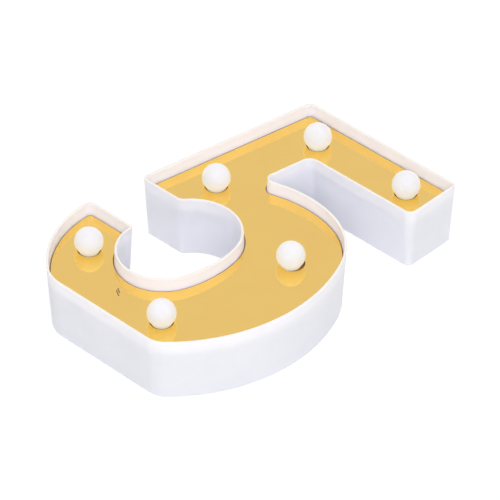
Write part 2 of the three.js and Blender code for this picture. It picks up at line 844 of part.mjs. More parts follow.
// A short lead that rises from one place, runs over and comes down on another
function feedLead(start, end, level) {
  const lift = (place) => new THREE.Vector3(place.x, place.y, (place.z + level) / 2);
  const over = (part) => start.clone().lerp(end, part).setZ(level);
  const nearShare = 0.15;
  const places = [start, lift(start), over(nearShare), over(1 / 2), over(1 - nearShare), lift(end), end];
  return wire(new THREE.CatmullRomCurve3(places), feedSteps);
}

const contactTabTop = bayTop + contactTabRise;
const feedLevel = harnessLevel + feedClimb;
const feedJoinShare = 0.2;
const switchTerminalTop = switchBottom + switchBodyHeight + switchTerminalHeight;

function feedStart(side) {
  const y = bayHigh - sideGap - contactThickness / 2;
  return new THREE.Vector3(bay.x + side * cellSpread, y, contactTabTop + wireGap);
}

function switchTerminal(number) {
  const x = switchPlace.x + number * switchTerminalPitch;
  return new THREE.Vector3(x, switchPlace.y, switchTerminalTop + wireGap);
}

function feedNegative() {
  const end = besideSpine(alongSpine(bayEntry, feedJoinShare), -ledLeadSpread / 2);
  end.z = harnessLevel + wireRadius + wireGap;
  return feedLead(feedStart(1), end, feedLevel);
}

function feedSwitched() {
  const end = besideSpine(alongSpine(armBend), ledLeadSpread / 2);
  end.z = harnessLevel - wireRadius - wireGap;
  const start = switchTerminal(0);
  return feedLead(start, end, (start.z + end.z) / 2);
}

// A dry cell lying along y, with its nub up or down the bay
function cell(side) {
  const nubEnd = -side;
  const barrel = cellLength - cellNubLength;
  const profile = [
    [0, 0],
    [cellRadius, 0],
    [cellRadius, barrel],
    [cellNubRadius, barrel],
    [cellNubRadius, cellLength],
    [0, cellLength],
  ];
  const points = profile.map(([radius, level]) => new THREE.Vector2(radius, level));
  const body = new THREE.LatheGeometry(points, roundSides);
  if (nubEnd < 0) body.rotateX(Math.PI);
  const foot = nubEnd > 0 ? bayHigh - contactSpace - cellLength : bayLow + contactSpace + cellLength;
  return body.translate(bay.x + side * cellSpread, foot, 0).translate(0, 0, cellLevel);
}

// A contact plate in the bay's upper end, with a tab out through the roof
function contact(side) {
  const x = bay.x + side * cellSpread;
  const back = bayHigh - sideGap;
  const plate = block(
    [x - contactWidth / 2, back - contactThickness, contactFoot],
    [x + contactWidth / 2, back, bayCeiling - sideGap],
  );
  const tab = block(
    [x - contactTab / 2, back - contactThickness, bayCeiling - overrun],
    [x + contactTab / 2, back, contactTabTop],
  );
  return geometryOf(join(plate, tab));
}

// The plate across both cells at the bay's lower end
function contactBridge() {
  const half = cellSpread + contactWidth / 2;
  return block(
    [bay.x - half, bayLow + sideGap, contactFoot],
    [bay.x + half, bayLow + sideGap + contactThickness, bayCeiling - sideGap],
  );
}

// A conical coil along y
class Coil extends THREE.Curve {
  constructor(x, z, start, end) {
    super();
    Object.assign(this, { x, z, start, end });
  }
  getPoint(t, target = new THREE.Vector3()) {
    const angle = 2 * Math.PI * springTurns * t;
    const radius = THREE.MathUtils.lerp(springWideRadius, springNarrowRadius, t);
    const y = THREE.MathUtils.lerp(this.start, this.end, t);
    return target.set(this.x + radius * Math.cos(angle), y, this.z + radius * Math.sin(angle));
  }
}

// The spring between a cell's flat end and its contact plate
function batterySpring(side) {
  const clear = sideGap + springWire;
  const bayEnd = side > 0 ? bayHigh : bayLow;
  const start = bayEnd - side * (sideGap + contactThickness + clear);
  const end = bayEnd - side * (contactSpace + springLength - clear);
  const path = new Coil(bay.x + side * cellSpread, cellLevel, start, end);
  const section = new THREE.Shape();
  for (let corner = 0; corner < springSides; corner += 1) {
    const spot = heading((2 * Math.PI * corner) / springSides).multiplyScalar(springWire);
    if (corner === 0) section.moveTo(spot.x, spot.y);
    else section.lineTo(spot.x, spot.y);
  }
  const steps = springTurns * springStepsPerTurn;
  return new THREE.ExtrudeGeometry(section, { steps, extrudePath: path, bevelEnabled: false });
}

function doorTabMiddles() {
  const spread = bayHalfWidth - sideGap - doorTabWidth / 2;
  return [bay.x - spread, bay.x + spread];
}

// The snap door: a plate with two tabs at its lower end and a sprung latch at its upper end
function batteryDoor() {
  const low = bayLow + sideGap;
  const high = bayHigh - sideGap;
  const half = bayHalfWidth - sideGap;
  const plate = block([bay.x - half, low, doorRecess], [bay.x + half, high, doorTop]);
  const tabLow = caseFloor + seatGap;
  const tabHigh = tabLow + doorTabThickness;
  const rootHigh = low + doorTabRoot;
  const tabs = doorTabMiddles().flatMap((x) => {
    const left = x - doorTabWidth / 2;
    const right = x + doorTabWidth / 2;
    return [
      block([left, low, doorRecess], [right, rootHigh, tabHigh]),
      block([left, bayLow - doorTabReach, tabLow], [right, rootHigh, tabHigh]),
    ];
  });
  const latchLow = high - latchSpan;
  const latchTop = doorTop + latchHeight;
  const left = bay.x - latchWidth / 2;
  const right = bay.x + latchWidth / 2;
  const latch = block([left, latchLow, doorRecess], [right, high, latchTop]);
  const noseLow = caseFloor + seatGap;
  const nose = block(
    [left, high - latchLeg, noseLow],
    [right, high + latchNose / 2, noseLow + latchNoseHeight],
  );
  const loop = block(
    [left - overrun, latchLow + latchLeg, doorTop],
    [right + overrun, high - latchLeg, latchTop - latchLeg],
  );
  const grip = block(
    [bay.x - gripWidth / 2, high - latchLeg - gripLength, doorRecess - overrun],
    [bay.x + gripWidth / 2, high - latchLeg, doorRecess + gripDepth],
  );
  return geometryOf(join(plate, ...tabs, latch, nose).subtract(solid(loop)).subtract(solid(grip)));
}

function switchScrewPlaces() {
  return [-1, 1].map((side) => new THREE.Vector2(switchPlace.x + side * switchScrewSpread, switchPlace.y));
}

function switchScrewTip() {
  return switchBottom + switchEarThickness + seatGap - switchScrewLength;
}

// The switch's housing with an ear at each end and three terminals on top
function switchBody() {
  const { x, y } = switchPlace;
  const top = switchBottom + switchBodyHeight;
  const halfLength = switchBodyLength / 2;
  const halfWidth = switchBodyWidth / 2;
  const ears = block(
    [x - halfLength - switchEarLength, y - halfWidth, switchBottom],
    [x + halfLength + switchEarLength, y + halfWidth, switchBottom + switchEarThickness],
  );
  const housing = block([x - halfLength, y - halfWidth, switchBottom], [x + halfLength, y + halfWidth, top]);
  const terminals = [-1, 0, 1].map((number) => {
    const middle = x + number * switchTerminalPitch;
    const half = switchTerminalWidth / 2;
    return block([middle - half, y - half, top - switchWall], [middle + half, y + half, switchTerminalTop]);
  });
  const trackHalf = (sliderPlateLength + switchTravel) / 2 + sideGap;
  const trackTop = switchBottom + seatGap + sliderPlateThickness + seatGap;
  const track = block(
    [x - trackHalf, y - sliderPlateWidth / 2 - sideGap, switchBottom - overrun],
    [x + trackHalf, y + sliderPlateWidth / 2 + sideGap, trackTop],
  );
  const body = switchScrewPlaces().reduce(
    (whole, place) =>
      whole.subtract(
        solid(post(place, switchBottom - overrun, switchBottom + 2 * overrun, switchScrewRadius + sideGap)),
      ),
    join(ears, housing, ...terminals),
  );
  return geometryOf(body.subtract(solid(track)));
}

// The sliding piece: a plate in the housing, a stem through the slot and a ridged knob in the well
function switchSlider() {
  const x = switchPlace.x - switchTravel / 2;
  const { y } = switchPlace;
  const about = (length, width, low, high) =>
    block([x - length / 2, y - width / 2, low], [x + length / 2, y + width / 2, high]);
  const plateLow = switchBottom + seatGap;
  const knobTop = wellDepth - seatGap;
  const knobLow = knobTop - knobThickness;
  const plate = about(sliderPlateLength, sliderPlateWidth, plateLow, plateLow + sliderPlateThickness);
  const stem = about(stemLength, stemWide, knobLow, plateLow + sliderPlateThickness / 2);
  const knob = about(knobLength, knobWidth, knobLow, knobTop);
  const ridges = [-1, 0, 1].map((number) => {
    const middle = x + (number * knobLength) / 3;
    const half = knobRidge;
    return block(
      [middle - half, y - knobWidth / 2, knobLow - knobRidge],
      [middle + half, y + knobWidth / 2, knobLow + knobRidge],
    );
  });
  return geometryOf(join(plate, stem, knob, ...ridges));
}

function screwTip() {
  return screwHeadSink + screwHeadHeight + screwLength;
}

// A pan head screw with its head towards the back
function caseScrew(place) {
  const edge = screwHeadHeight / 3;
  const headTop = screwHeadSink + screwHeadHeight;
  const profile = [
    [0, screwHeadSink],
    [screwHeadRadius - edge, screwHeadSink],
    [screwHeadRadius, screwHeadSink + edge],
    [screwHeadRadius, headTop],
    [screwRadius, headTop],
    [screwRadius, screwTip() - screwRadius],
    [0, screwTip()],
  ];
  return turned(place, profile, tinySides);
}

function switchScrew(place) {
  const seat = switchBottom + switchEarThickness + seatGap;
  const tip = switchScrewTip();
  const profile = [
    [0, tip],
    [switchScrewRadius, tip + switchScrewRadius],
    [switchScrewRadius, seat],
    [switchScrewHead, seat],
    [switchScrewHead, seat + switchScrewHeadHeight / 2],
    [switchScrewHead / 2, seat + switchScrewHeadHeight],
    [0, seat + switchScrewHeadHeight],
  ];
  return turned(place, profile, tinySides);
}

function finish(color, roughness, metalness) {
  return new THREE.MeshStandardMaterial({ color, roughness, metalness });
}

const whitePlastic = finish('#f1f1f6', 0.35, 0);
const goldMirror = finish('#e8c276', 0.08, 1);
const frostedWhite = finish('#fbf8f6', 0.3, 0);
const clearLens = finish('#eef2f6', 0.1, 0);
const ivoryPlastic = finish('#e6e2d8', 0.5, 0);
const blackPlastic = finish('#1c1c1e', 0.45, 0);
const steel = finish('#b9bcc0', 0.3, 1);
const redWire = finish('#b3231f', 0.5, 0);
const blackWire = finish('#202022', 0.5, 0);
const cellJacket = finish('#5b5f66', 0.4, 0.3);

const numeral = new THREE.Group();

function piece(name, geometry, material) {
  const mesh = new THREE.Mesh(closed(geometry), material);
  mesh.name = name;
  numeral.add(mesh);
}

piece('case', caseTray(), whitePlastic);
piece('carrier_plate', carrierPlate(), ivoryPlastic);
piece('mirror_panel', mirrorSheet(), goldMirror);
lampPlaces.forEach((place, index) => {
  const run = spine.getTangent(alongSpine(place));
  const across = new THREE.Vector2(-run.y, run.x).normalize();
  piece(`globe_${index + 1}`, globe(place), frostedWhite);
  piece(`led_${index + 1}`, diode(place, across), clearLens);
  piece(`led_holder_${index + 1}`, ledHolder(place), ivoryPlastic);
});
piece('harness_positive', harnessWire(1), redWire);
piece('harness_negative', harnessWire(-1), blackWire);
piece('feed_positive', feedLead(feedStart(-1), switchTerminal(1), feedLevel), redWire);
piece('feed_negative', feedNegative(), blackWire);
piece('feed_switched', feedSwitched(), redWire);
piece('battery_1', cell(-1), cellJacket);
piece('battery_2', cell(1), cellJacket);
piece('contact_positive', contact(-1), steel);
piece('contact_negative', contact(1), steel);
piece('contact_bridge', contactBridge(), steel);
piece('battery_spring_1', batterySpring(-1), steel);
piece('battery_spring_2', batterySpring(1), steel);
piece('battery_door', batteryDoor(), whitePlastic);
piece('switch_body', switchBody(), blackPlastic);
piece('switch_slider', switchSlider(), blackPlastic);
switchScrewPlaces().forEach((place, index) => piece(`switch_screw_${index + 1}`, switchScrew(place), steel));
screwPlaces.forEach((place, index) => piece(`case_screw_${index + 1}`, caseScrew(place), steel));

// The middle of the outline stands over the origin
const across = new THREE.Box2().setFromPoints(outlineRing(0));
numeral.position.set(-(across.min.x + across.max.x) / 2, -numeralHeight / 2, 0);

const marqueeNumeral = new THREE.Group();
marqueeNumeral.add(numeral);

export default marqueeNumeral;
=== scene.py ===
# A light up marquee numeral lying on its back on a pale floor: a white moulded tray in the outline of
# a five, a gold mirror sheet below its rim and six opal globes. All lengths are metres.

import json
import math

import bmesh
import bpy
from mathutils import Matrix, Vector

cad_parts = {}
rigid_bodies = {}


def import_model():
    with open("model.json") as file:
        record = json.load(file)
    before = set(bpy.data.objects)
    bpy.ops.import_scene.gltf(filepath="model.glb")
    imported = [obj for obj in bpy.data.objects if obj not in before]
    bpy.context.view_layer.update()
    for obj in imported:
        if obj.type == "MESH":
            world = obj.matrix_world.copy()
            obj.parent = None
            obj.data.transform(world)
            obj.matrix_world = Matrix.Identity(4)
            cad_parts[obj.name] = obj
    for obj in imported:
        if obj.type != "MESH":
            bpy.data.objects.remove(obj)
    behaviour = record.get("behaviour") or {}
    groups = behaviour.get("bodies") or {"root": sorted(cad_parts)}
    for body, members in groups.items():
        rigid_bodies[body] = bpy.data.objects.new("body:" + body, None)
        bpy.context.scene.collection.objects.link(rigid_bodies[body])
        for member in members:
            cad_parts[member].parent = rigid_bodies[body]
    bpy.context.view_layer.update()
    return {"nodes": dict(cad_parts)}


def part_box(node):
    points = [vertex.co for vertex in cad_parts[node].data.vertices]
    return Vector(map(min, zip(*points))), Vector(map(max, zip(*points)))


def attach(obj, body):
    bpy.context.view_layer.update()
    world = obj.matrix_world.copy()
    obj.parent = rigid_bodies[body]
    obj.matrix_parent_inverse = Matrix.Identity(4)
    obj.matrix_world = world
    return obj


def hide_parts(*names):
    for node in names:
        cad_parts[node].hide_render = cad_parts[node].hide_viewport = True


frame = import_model()
nodes = frame["nodes"]


# The tray is one deep moulding in satin white plastic. Its outline is a five made of straight edges and
# arcs with rounded corners, and its wall leans outwards by 2.8 degrees from the back up to a rounded rim.
# The battery bay, the switch's well, the keyholes and the screw recesses are moulded into its back.

numeral_height = 0.220
stem_width = 0.0428
bar_height = 0.0396
wall_draft = math.radians(2.8)
stem_lean = math.radians(10.7)
bar_end_lean = math.radians(1)
sharpest_corner = 0.0004
outline_middle = Vector((0.041946, 0.110))

# Places and radii of the outline, as shares of the height above the bowl's foot
stem_top_share = -0.0226
stem_foot_share = 0.4527
terminal_top_share = 0.294
bar_end_share = 0.4966
counter_top_shares = (0.1261, 0.381, 0.1297)
counter_side_share = 0.3143
counter_foot_share = 0.1236
terminal_side_share = 0.1182
terminal_back_shares = (0.1543, 0.2632, 0.3085)
bowl_shares = (0.0622, 0.3647, 0.4732)
shoulder_share = 0.2403
crown_share = 0.3576
counter_side_angle = math.radians(7.9)
counter_foot_angle = math.radians(-21.5)
terminal_side_angle = math.radians(-60)
shoulder_angle = math.radians(22.4)
crown_angle = math.radians(77.4)
corner_shares = {
    "stem top": 0.0196,
    "stem foot": 0.0164,
    "counter mouth": 0.0346,
    "terminal tip": 0.0091,
    "terminal back": 0.0215,
    "foot left": 0.1012,
    "foot right": 0.0702,
    "notch": 0.0166,
    "bar inside": 0.0253,
    "bar end low": 0.0255,
    "bar end high": 0.0143,
}


def share(part):
    return part * numeral_height


def heading(angle):
    return Vector((math.cos(angle), math.sin(angle)))


class StraightEdge:
    """An edge through a point, with the numeral on its left side"""

    def __init__(self, point, angle):
        self.point = Vector(point)
        self.angle = angle

    def inset(self, distance):
        return StraightEdge(self.point + heading(self.angle + math.pi / 2) * distance, self.angle)

    def foot(self, place):
        run = heading(self.angle)
        return self.point + run * (place - self.point).dot(run)


class RoundEdge:
    """An edge about a centre, bulging out of the numeral or into it"""

    def __init__(self, centre, radius, bulges):
        self.centre = Vector(centre)
        self.radius = radius
        self.bulges = bulges

    def inset(self, distance):
        radius = self.radius - distance if self.bulges else self.radius + distance
        return RoundEdge(self.centre, radius, self.bulges)

    def foot(self, place):
        return self.centre + (place - self.centre).normalized() * self.radius


def crossing(a, b, hint):
    """Where two edges cross, nearest to a hint"""
    if isinstance(a, RoundEdge) and isinstance(b, StraightEdge):
        return crossing(b, a, hint)
    if isinstance(b, StraightEdge):
        run_a = heading(a.angle)
        run_b = heading(b.angle)
        between = b.point - a.point
        return a.point + run_a * (between.cross(run_b) / run_a.cross(run_b))
    if isinstance(a, StraightEdge):
        middle = a.foot(b.centre)
        reach = math.sqrt(max(b.radius**2 - (middle - b.centre).length_squared, 0))
        run = heading(a.angle)
    else:
        between = b.centre - a.centre
        along = (between.length_squared + a.radius**2 - b.radius**2) / (2 * between.length)
        reach = math.sqrt(max(a.radius**2 - along**2, 0))
        middle = a.centre + between.normalized() * along
        run = between.normalized().orthogonal()
    return min([middle + run * reach, middle - run * reach], key=lambda place: (place - hint).length)


def circle(shares):
    x, y, radius = [share(part) for part in shares]
    return Vector((x, y)), radius


def numeral_edges():
    """The edges of the five, anticlockwise from the top, each with the corner or smooth join after it"""
    bar_low = numeral_height - bar_height
    stem_top = share(stem_top_share)
    stem_right = stem_top + stem_width / math.cos(stem_lean)
    stem_foot = share(stem_foot_share)
    terminal_top = share(terminal_top_share)
    bar_end = share(bar_end_share)
    counter_top_centre, counter_top_radius = circle(counter_top_shares)
    counter_side_radius = share(counter_side_share)
    counter_foot_radius = share(counter_foot_share)
    side_run = heading(counter_side_angle)
    foot_run = heading(counter_foot_angle)
    counter_side_centre = counter_top_centre + side_run * (counter_top_radius - counter_side_radius)
    counter_foot_centre = counter_side_centre + foot_run * (counter_side_radius - counter_foot_radius)
    terminal_side_radius = share(terminal_side_share)
    terminal_run = heading(terminal_side_angle)
    terminal_side_centre = counter_foot_centre + terminal_run * (counter_foot_radius - terminal_side_radius)
    terminal_centre, terminal_radius = circle(terminal_back_shares)
    bowl_centre, bowl_radius = circle(bowl_shares)
    shoulder_radius = share(shoulder_share)
    shoulder_centre = bowl_centre + heading(shoulder_angle) * (bowl_radius - shoulder_radius)
    crown_radius = share(crown_share)
    crown_centre = shoulder_centre + heading(crown_angle) * (shoulder_radius - crown_radius)
    crown_top = crown_centre.y + crown_radius
    up_stem = math.pi / 2 - stem_lean
    up_end = math.pi / 2 - bar_end_lean

    def stem_side(x, y):
        return x - (numeral_height - y) * math.tan(stem_lean)

    def corner(name, x, y, side=1):
        return {"radius": side * share(corner_shares[name]), "hint": Vector((x, y))}

    def arc_up_to(angle, centre, radius, bulges):
        return RoundEdge(centre, radius, bulges), {"join": centre + heading(angle) * radius}

    return [
        (StraightEdge((0, numeral_height), math.pi), corner("stem top", stem_top, numeral_height)),
        (
            StraightEdge((stem_top, numeral_height), up_stem - math.pi),
            corner("stem foot", stem_side(stem_top, stem_foot), stem_foot),
        ),
        (
            StraightEdge((0, stem_foot), 0),
            corner("counter mouth", counter_top_centre.x - counter_top_radius, stem_foot),
        ),
        arc_up_to(counter_side_angle, counter_top_centre, counter_top_radius, False),
        arc_up_to(counter_foot_angle, counter_side_centre, counter_side_radius, False),
        arc_up_to(terminal_side_angle, counter_foot_centre, counter_foot_radius, False),
        (
            RoundEdge(terminal_side_centre, terminal_side_radius, False),
            corner("terminal tip", terminal_side_centre.x - terminal_side_radius, terminal_top),
        ),
        (
            StraightEdge((0, terminal_top), math.pi),
            corner("terminal back", terminal_centre.x - terminal_radius, terminal_top),
        ),
        (
            RoundEdge(terminal_centre, terminal_radius, True),
            corner("foot left", stem_side(stem_top, stem_foot), 0),
        ),
        (StraightEdge((0, 0), 0), corner("foot right", bowl_centre.x + bowl_radius, 0)),
        arc_up_to(shoulder_angle, bowl_centre, bowl_radius, True),
        arc_up_to(crown_angle, shoulder_centre, shoulder_radius, True),
        (
            RoundEdge(crown_centre, crown_radius, True),
            corner("notch", stem_side(stem_right, crown_top), crown_top, -1),
        ),
        (
            StraightEdge((stem_right, numeral_height), up_stem),
            corner("bar inside", stem_side(stem_right, bar_low), bar_low, -1),
        ),
        (StraightEdge((0, bar_low), 0), corner("bar end low", bar_end, bar_low)),
        (
            StraightEdge((bar_end, numeral_height), up_end),
            corner("bar end high", bar_end, numeral_height),
        ),
    ]


def arc_link(centre, start, end, anticlockwise):
    full_turn = 2 * math.pi
    before = start - centre
    after = end - centre
    turn = math.atan2(after.y, after.x) - math.atan2(before.y, before.x)
    sweep = turn % full_turn if anticlockwise else -((full_turn - turn) % full_turn)
    return {"centre": centre, "radius": before.length, "sweep": sweep, "start": start}


def outline_chain(inset):
    """The outline moved inwards, as a chain of straight and round links in order"""
    edges = numeral_edges()
    moved = [edge.inset(inset) for edge, corner in edges]
    turns = []
    for index, (edge, corner) in enumerate(edges):
        before = moved[index]
        after = moved[(index + 1) % len(moved)]
        if "join" in corner:
            turns.append({"start": before.foot(corner["join"]), "end": after.foot(corner["join"])})
            continue
        radius = corner["radius"] - inset
        if corner["radius"] > 0:
            radius = max(radius, sharpest_corner)
        centre = crossing(before.inset(radius), after.inset(radius), corner["hint"])
        start = before.foot(centre)
        end = after.foot(centre)
        turns.append({"start": start, "end": end, "arc": arc_link(centre, start, end, radius > 0)})
    chain = []
    for index, edge in enumerate(moved):
        start = turns[index - 1]["end"]
        end = turns[index]["start"]
        if isinstance(edge, RoundEdge):
            chain.append(arc_link(edge.centre, start, end, edge.bulges))
        else:
            chain.append({"start": start, "end": end})
        if "arc" in turns[index]:
            chain.append(turns[index]["arc"])
    return chain


def chain_steps():
    """Steps along each link, the same for every inset so that rings can be bridged"""
    curve_tolerance = 0.000006
    fewest_steps = 8
    steps = []
    for link in outline_chain(0):
        if "centre" not in link:
            steps.append(1)
            continue
        step = 2 * math.acos(1 - curve_tolerance / link["radius"])
        steps.append(max(fewest_steps, math.ceil(abs(link["sweep"]) / step)))
    return steps


outline_steps = chain_steps()
edge_support = 0.0003
merge_distance = 0.000001


def extrude(step):
    bpy.ops.mesh.extrude_region_move(TRANSFORM_OT_translate={"value": step})


def draw_outline(inset, level):
    """Draws one closed ring of the outline in the mesh being edited"""
    chain = outline_chain(inset)
    first = chain[0]["start"] - outline_middle
    bpy.ops.mesh.primitive_plane_add(size=0.001, location=(first.x, first.y, level))
    bpy.ops.mesh.merge(type="CENTER")
    for link, steps in zip(chain, outline_steps):
        if "centre" in link:
            centre = link["centre"] - outline_middle
            axis = (0, 0, -math.copysign(1, link["sweep"]))
            middle = (centre.x, centre.y, level)
            bpy.ops.mesh.spin(steps=steps, angle=abs(link["sweep"]), center=middle, axis=axis)
            continue
        run = link["end"] - link["start"]
        near = run.normalized() * edge_support
        for step in (near, run - 2 * near, near):
            extrude((step.x, step.y, 0))
    bpy.ops.mesh.select_linked()
    bpy.ops.mesh.remove_doubles(threshold=merge_distance)


def select_open_edges():
    bpy.ops.mesh.select_mode(type="EDGE")
    bpy.ops.mesh.select_non_manifold(
        extend=False, use_multi_face=False, use_non_contiguous=False, use_verts=False
    )


def start_piece(name):
    """Opens a new piece for drawing"""
    bpy.ops.object.select_all(action="DESELECT")
    bpy.ops.object.add(type="MESH")
    piece = bpy.context.active_object
    piece.name = name
    piece.data.name = name
    bpy.ops.object.mode_set(mode="EDIT")
    bpy.ops.mesh.select_mode(type="VERT")
    return piece


def finish_drawing():
    bpy.ops.mesh.select_all(action="SELECT")
    bpy.ops.mesh.normals_make_consistent(inside=False)
    bpy.ops.object.mode_set(mode="OBJECT")


def outline_shell(name, section):
    """A closed shell through outline rings, from pairs of inset and level"""
    shell = None
    for inset, level in section:
        ring = start_piece(name)
        draw_outline(inset, level)
        if shell is None:
            bpy.ops.mesh.edge_face_add()
            bpy.ops.object.mode_set(mode="OBJECT")
            shell = ring
            continue
        bpy.ops.object.mode_set(mode="OBJECT")
        bpy.context.view_layer.objects.active = shell
        shell.select_set(True)
        bpy.ops.object.join()
        bpy.ops.object.mode_set(mode="EDIT")
        select_open_edges()
        bpy.ops.mesh.bridge_edge_loops()
        bpy.ops.object.mode_set(mode="OBJECT")
    bpy.ops.object.mode_set(mode="EDIT")
    select_open_edges()
    bpy.ops.mesh.edge_face_add()
    finish_drawing()
    return shell


def rounded(before, corner, after, steps):
    """Points of a rounded corner of a section, from a point before it to a point after it"""
    turn = math.pi / 2 / steps
    points = []
    for step in range(steps + 1):
        a = 1 - math.sin(turn * step)
        b = 1 - math.cos(turn * step)
        points.append(
            tuple(c + (p - c) * a + (q - c) * b for p, c, q in zip(before, corner, after))
        )
    return points


def block(name, low, high):
    """A box between two corners, as a tool for joining or cutting"""
    bpy.ops.object.select_all(action="DESELECT")
    low = Vector(low)
    high = Vector(high)
    bpy.ops.mesh.primitive_cube_add(size=1, location=(low + high) / 2, scale=high - low)
    piece = bpy.context.active_object
    piece.name = name
    bpy.ops.object.transform_apply(location=True, rotation=True, scale=True)
    return piece


def block_about(name, middle, half, low, high):
    """A box about a middle, from one level up to another, with half its length and width given"""
    x, y = middle
    return block(name, (x - half[0], y - half[1], low), (x + half[0], y + half[1], high))


def turned(name, place, profile, sides):
    """A closed shape turned about an upright axis, from pairs of radius and level"""
    piece = start_piece(name)
    x, y = place
    radius, level = profile[0]
    bpy.ops.mesh.primitive_plane_add(size=0.0001, location=(x + radius, y, level))
    bpy.ops.mesh.merge(type="CENTER")
    for next_radius, next_level in profile[1:]:
        extrude((next_radius - radius, 0, next_level - level))
        radius, level = next_radius, next_level
    bpy.ops.mesh.select_all(action="SELECT")
    bpy.ops.mesh.spin(steps=sides, angle=2 * math.pi, center=(x, y, 0), axis=(0, 0, 1))
    bpy.ops.mesh.select_all(action="SELECT")
    bpy.ops.mesh.remove_doubles(threshold=merge_distance)
    finish_drawing()
    return piece


def pin(name, place, radius, low, high, sides):
    """An upright pin of one thickness, as a tool for joining or cutting"""
    return turned(name, place, [(0, low), (radius, low), (radius, high), (0, high)], sides)


def select_only(piece):
    bpy.ops.object.select_all(action="DESELECT")
    bpy.context.view_layer.objects.active = piece
    piece.select_set(True)


def work(piece, operation, tools):
    """Joins tools to a piece or cuts them out of it, and removes the tools"""
    group = bpy.data.collections.new(operation)
    for tool in tools:
        group.objects.link(tool)
    select_only(piece)
    step = piece.modifiers.new(operation, "BOOLEAN")
    step.operation = operation
    step.solver = "EXACT"
    step.operand_type = "COLLECTION"
    step.collection = group
    bpy.ops.object.modifier_apply(modifier=step.name)
    for tool in tools:
        bpy.data.meshes.remove(tool.data)
    bpy.data.collections.remove(group)


def smooth_by_angle(piece, degrees=35):
    """Shades a piece smooth apart from its edges and its large flat faces"""
    select_only(piece)
    bpy.ops.object.shade_smooth_by_angle(angle=math.radians(degrees))
    for face in piece.data.polygons:
        if face.loop_total > 4:
            face.use_smooth = False


tray_depth = 0.041
tray_wall = 0.0014
tray_floor = 0.002
back_edge = 0.0006
rim_edge = 0.00035
rim_crown = 0.00003
floor_fillet = 0.0008
section_support = 0.0001


def taper(level):
    return (tray_depth - level) * math.tan(wall_draft)


def tray_section():
    """The wall's section as inset and level, from the back, over the rim and down to the inner floor"""

    def inner(level):
        return taper(level) + tray_wall

    rim = tray_depth - rim_edge
    rim_side = tray_depth - rim_crown
    fillet = tray_floor + floor_fillet
    return [
        *rounded((taper(0) + back_edge, 0), (taper(0), 0), (taper(back_edge), back_edge), 4),
        (taper(back_edge + section_support), back_edge + section_support),
        (taper(rim - section_support), rim - section_support),
        *rounded((taper(rim), rim), (0, rim_side), (rim_edge, rim_side), 4),
        (tray_wall / 2, tray_depth),
        *rounded((tray_wall - rim_edge, rim_side), (tray_wall, rim_side), (inner(rim), rim), 4),
        (inner(rim - section_support), rim - section_support),
        (inner(fillet + section_support), fillet + section_support),
        *rounded(
            (inner(fillet), fillet),
            (inner(tray_floor), tray_floor),
            (inner(tray_floor) + floor_fillet, tray_floor),
            3,
        ),
    ]


tray = outline_shell("tray", tray_section())

bay_middle = Vector((0.040048, -0.041998))
bay_half_width = 0.0153
bay_half_length = 0.02825
bay_wall = 0.0015
bay_ceiling = 0.0172
bay_top = 0.0185
bay_left = bay_middle.x - bay_half_width
bay_right = bay_middle.x + bay_half_width
bay_low = bay_middle.y - bay_half_length
bay_high = bay_middle.y + bay_half_length
cell_radius = 0.00725
cell_spread = 0.00755
cell_level = 0.00955
cell_middles = (bay_middle.x - cell_spread, bay_middle.x + cell_spread)
switch_middle = Vector((0.010062, 0.013992))
switch_pad_half = (0.0135, 0.006)
keyholes = [(-0.003952, 0.0852), (0.024054, 0.0852)]
keyhole_head = 0.005
keyhole_slot = 0.0025
keyhole_run = 0.010
keyhole_pad_half = 0.007
keyhole_pad_reach = 0.0145
keyhole_pad_top = 0.0032
screw_pad_radius = 0.0046
pad_top = 0.0035
well_depth = 0.0022
well_top = 0.0037
beyond = 0.001
mouth_chamfer = 0.0002


def middle_of(node):
    """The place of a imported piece, seen from above"""
    low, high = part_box(node)
    return ((low.x + high.x) / 2, (low.y + high.y) / 2)


case_screws = [middle_of(f"case_screw_{number}") for number in range(1, 9)]
joins = [
    block(
        "bay walls",
        (bay_left - bay_wall, bay_low - bay_wall, back_edge),
        (bay_right + bay_wall, bay_high + bay_wall, bay_top),
    ),
    block_about("switch pad", switch_middle, switch_pad_half, back_edge, well_top),
]
for x, y in keyholes:
    low = (x - keyhole_pad_half, y - keyhole_pad_half, back_edge)
    high = (x + keyhole_pad_half, y + keyhole_pad_reach, keyhole_pad_top)
    joins.append(block("keyhole pad", low, high))
for place in case_screws:
    joins.append(pin("screw pad", place, screw_pad_radius, back_edge, pad_top, 48))
work(tray, "UNION", joins)


def round_cut(place, low, high, radius):
    """A round hole as a tool, with a small chamfer where it meets the back"""
    wide = radius + mouth_chamfer
    profile = [(0, low), (wide, low), (wide, 0), (radius, mouth_chamfer), (radius, high), (0, high)]
    return turned("round cut", place, profile, 64)


def block_cut(low, high):
    """A straight hole as a tool, with a small chamfer where it meets the back"""
    tool = block("straight cut", (low[0], low[1], mouth_chamfer), high)
    bpy.ops.object.mode_set(mode="EDIT")
    drawing = bmesh.from_edit_mesh(tool.data)
    for face in drawing.faces:
        face.select_set(face.normal.z < -0.5)
    extrude((0, 0, -mouth_chamfer))
    wide = [1 + 2 * mouth_chamfer / (high[side] - low[side]) for side in range(2)]
    bpy.ops.transform.resize(value=(*wide, 1))
    extrude((0, 0, -beyond))
    finish_drawing()
    return tool


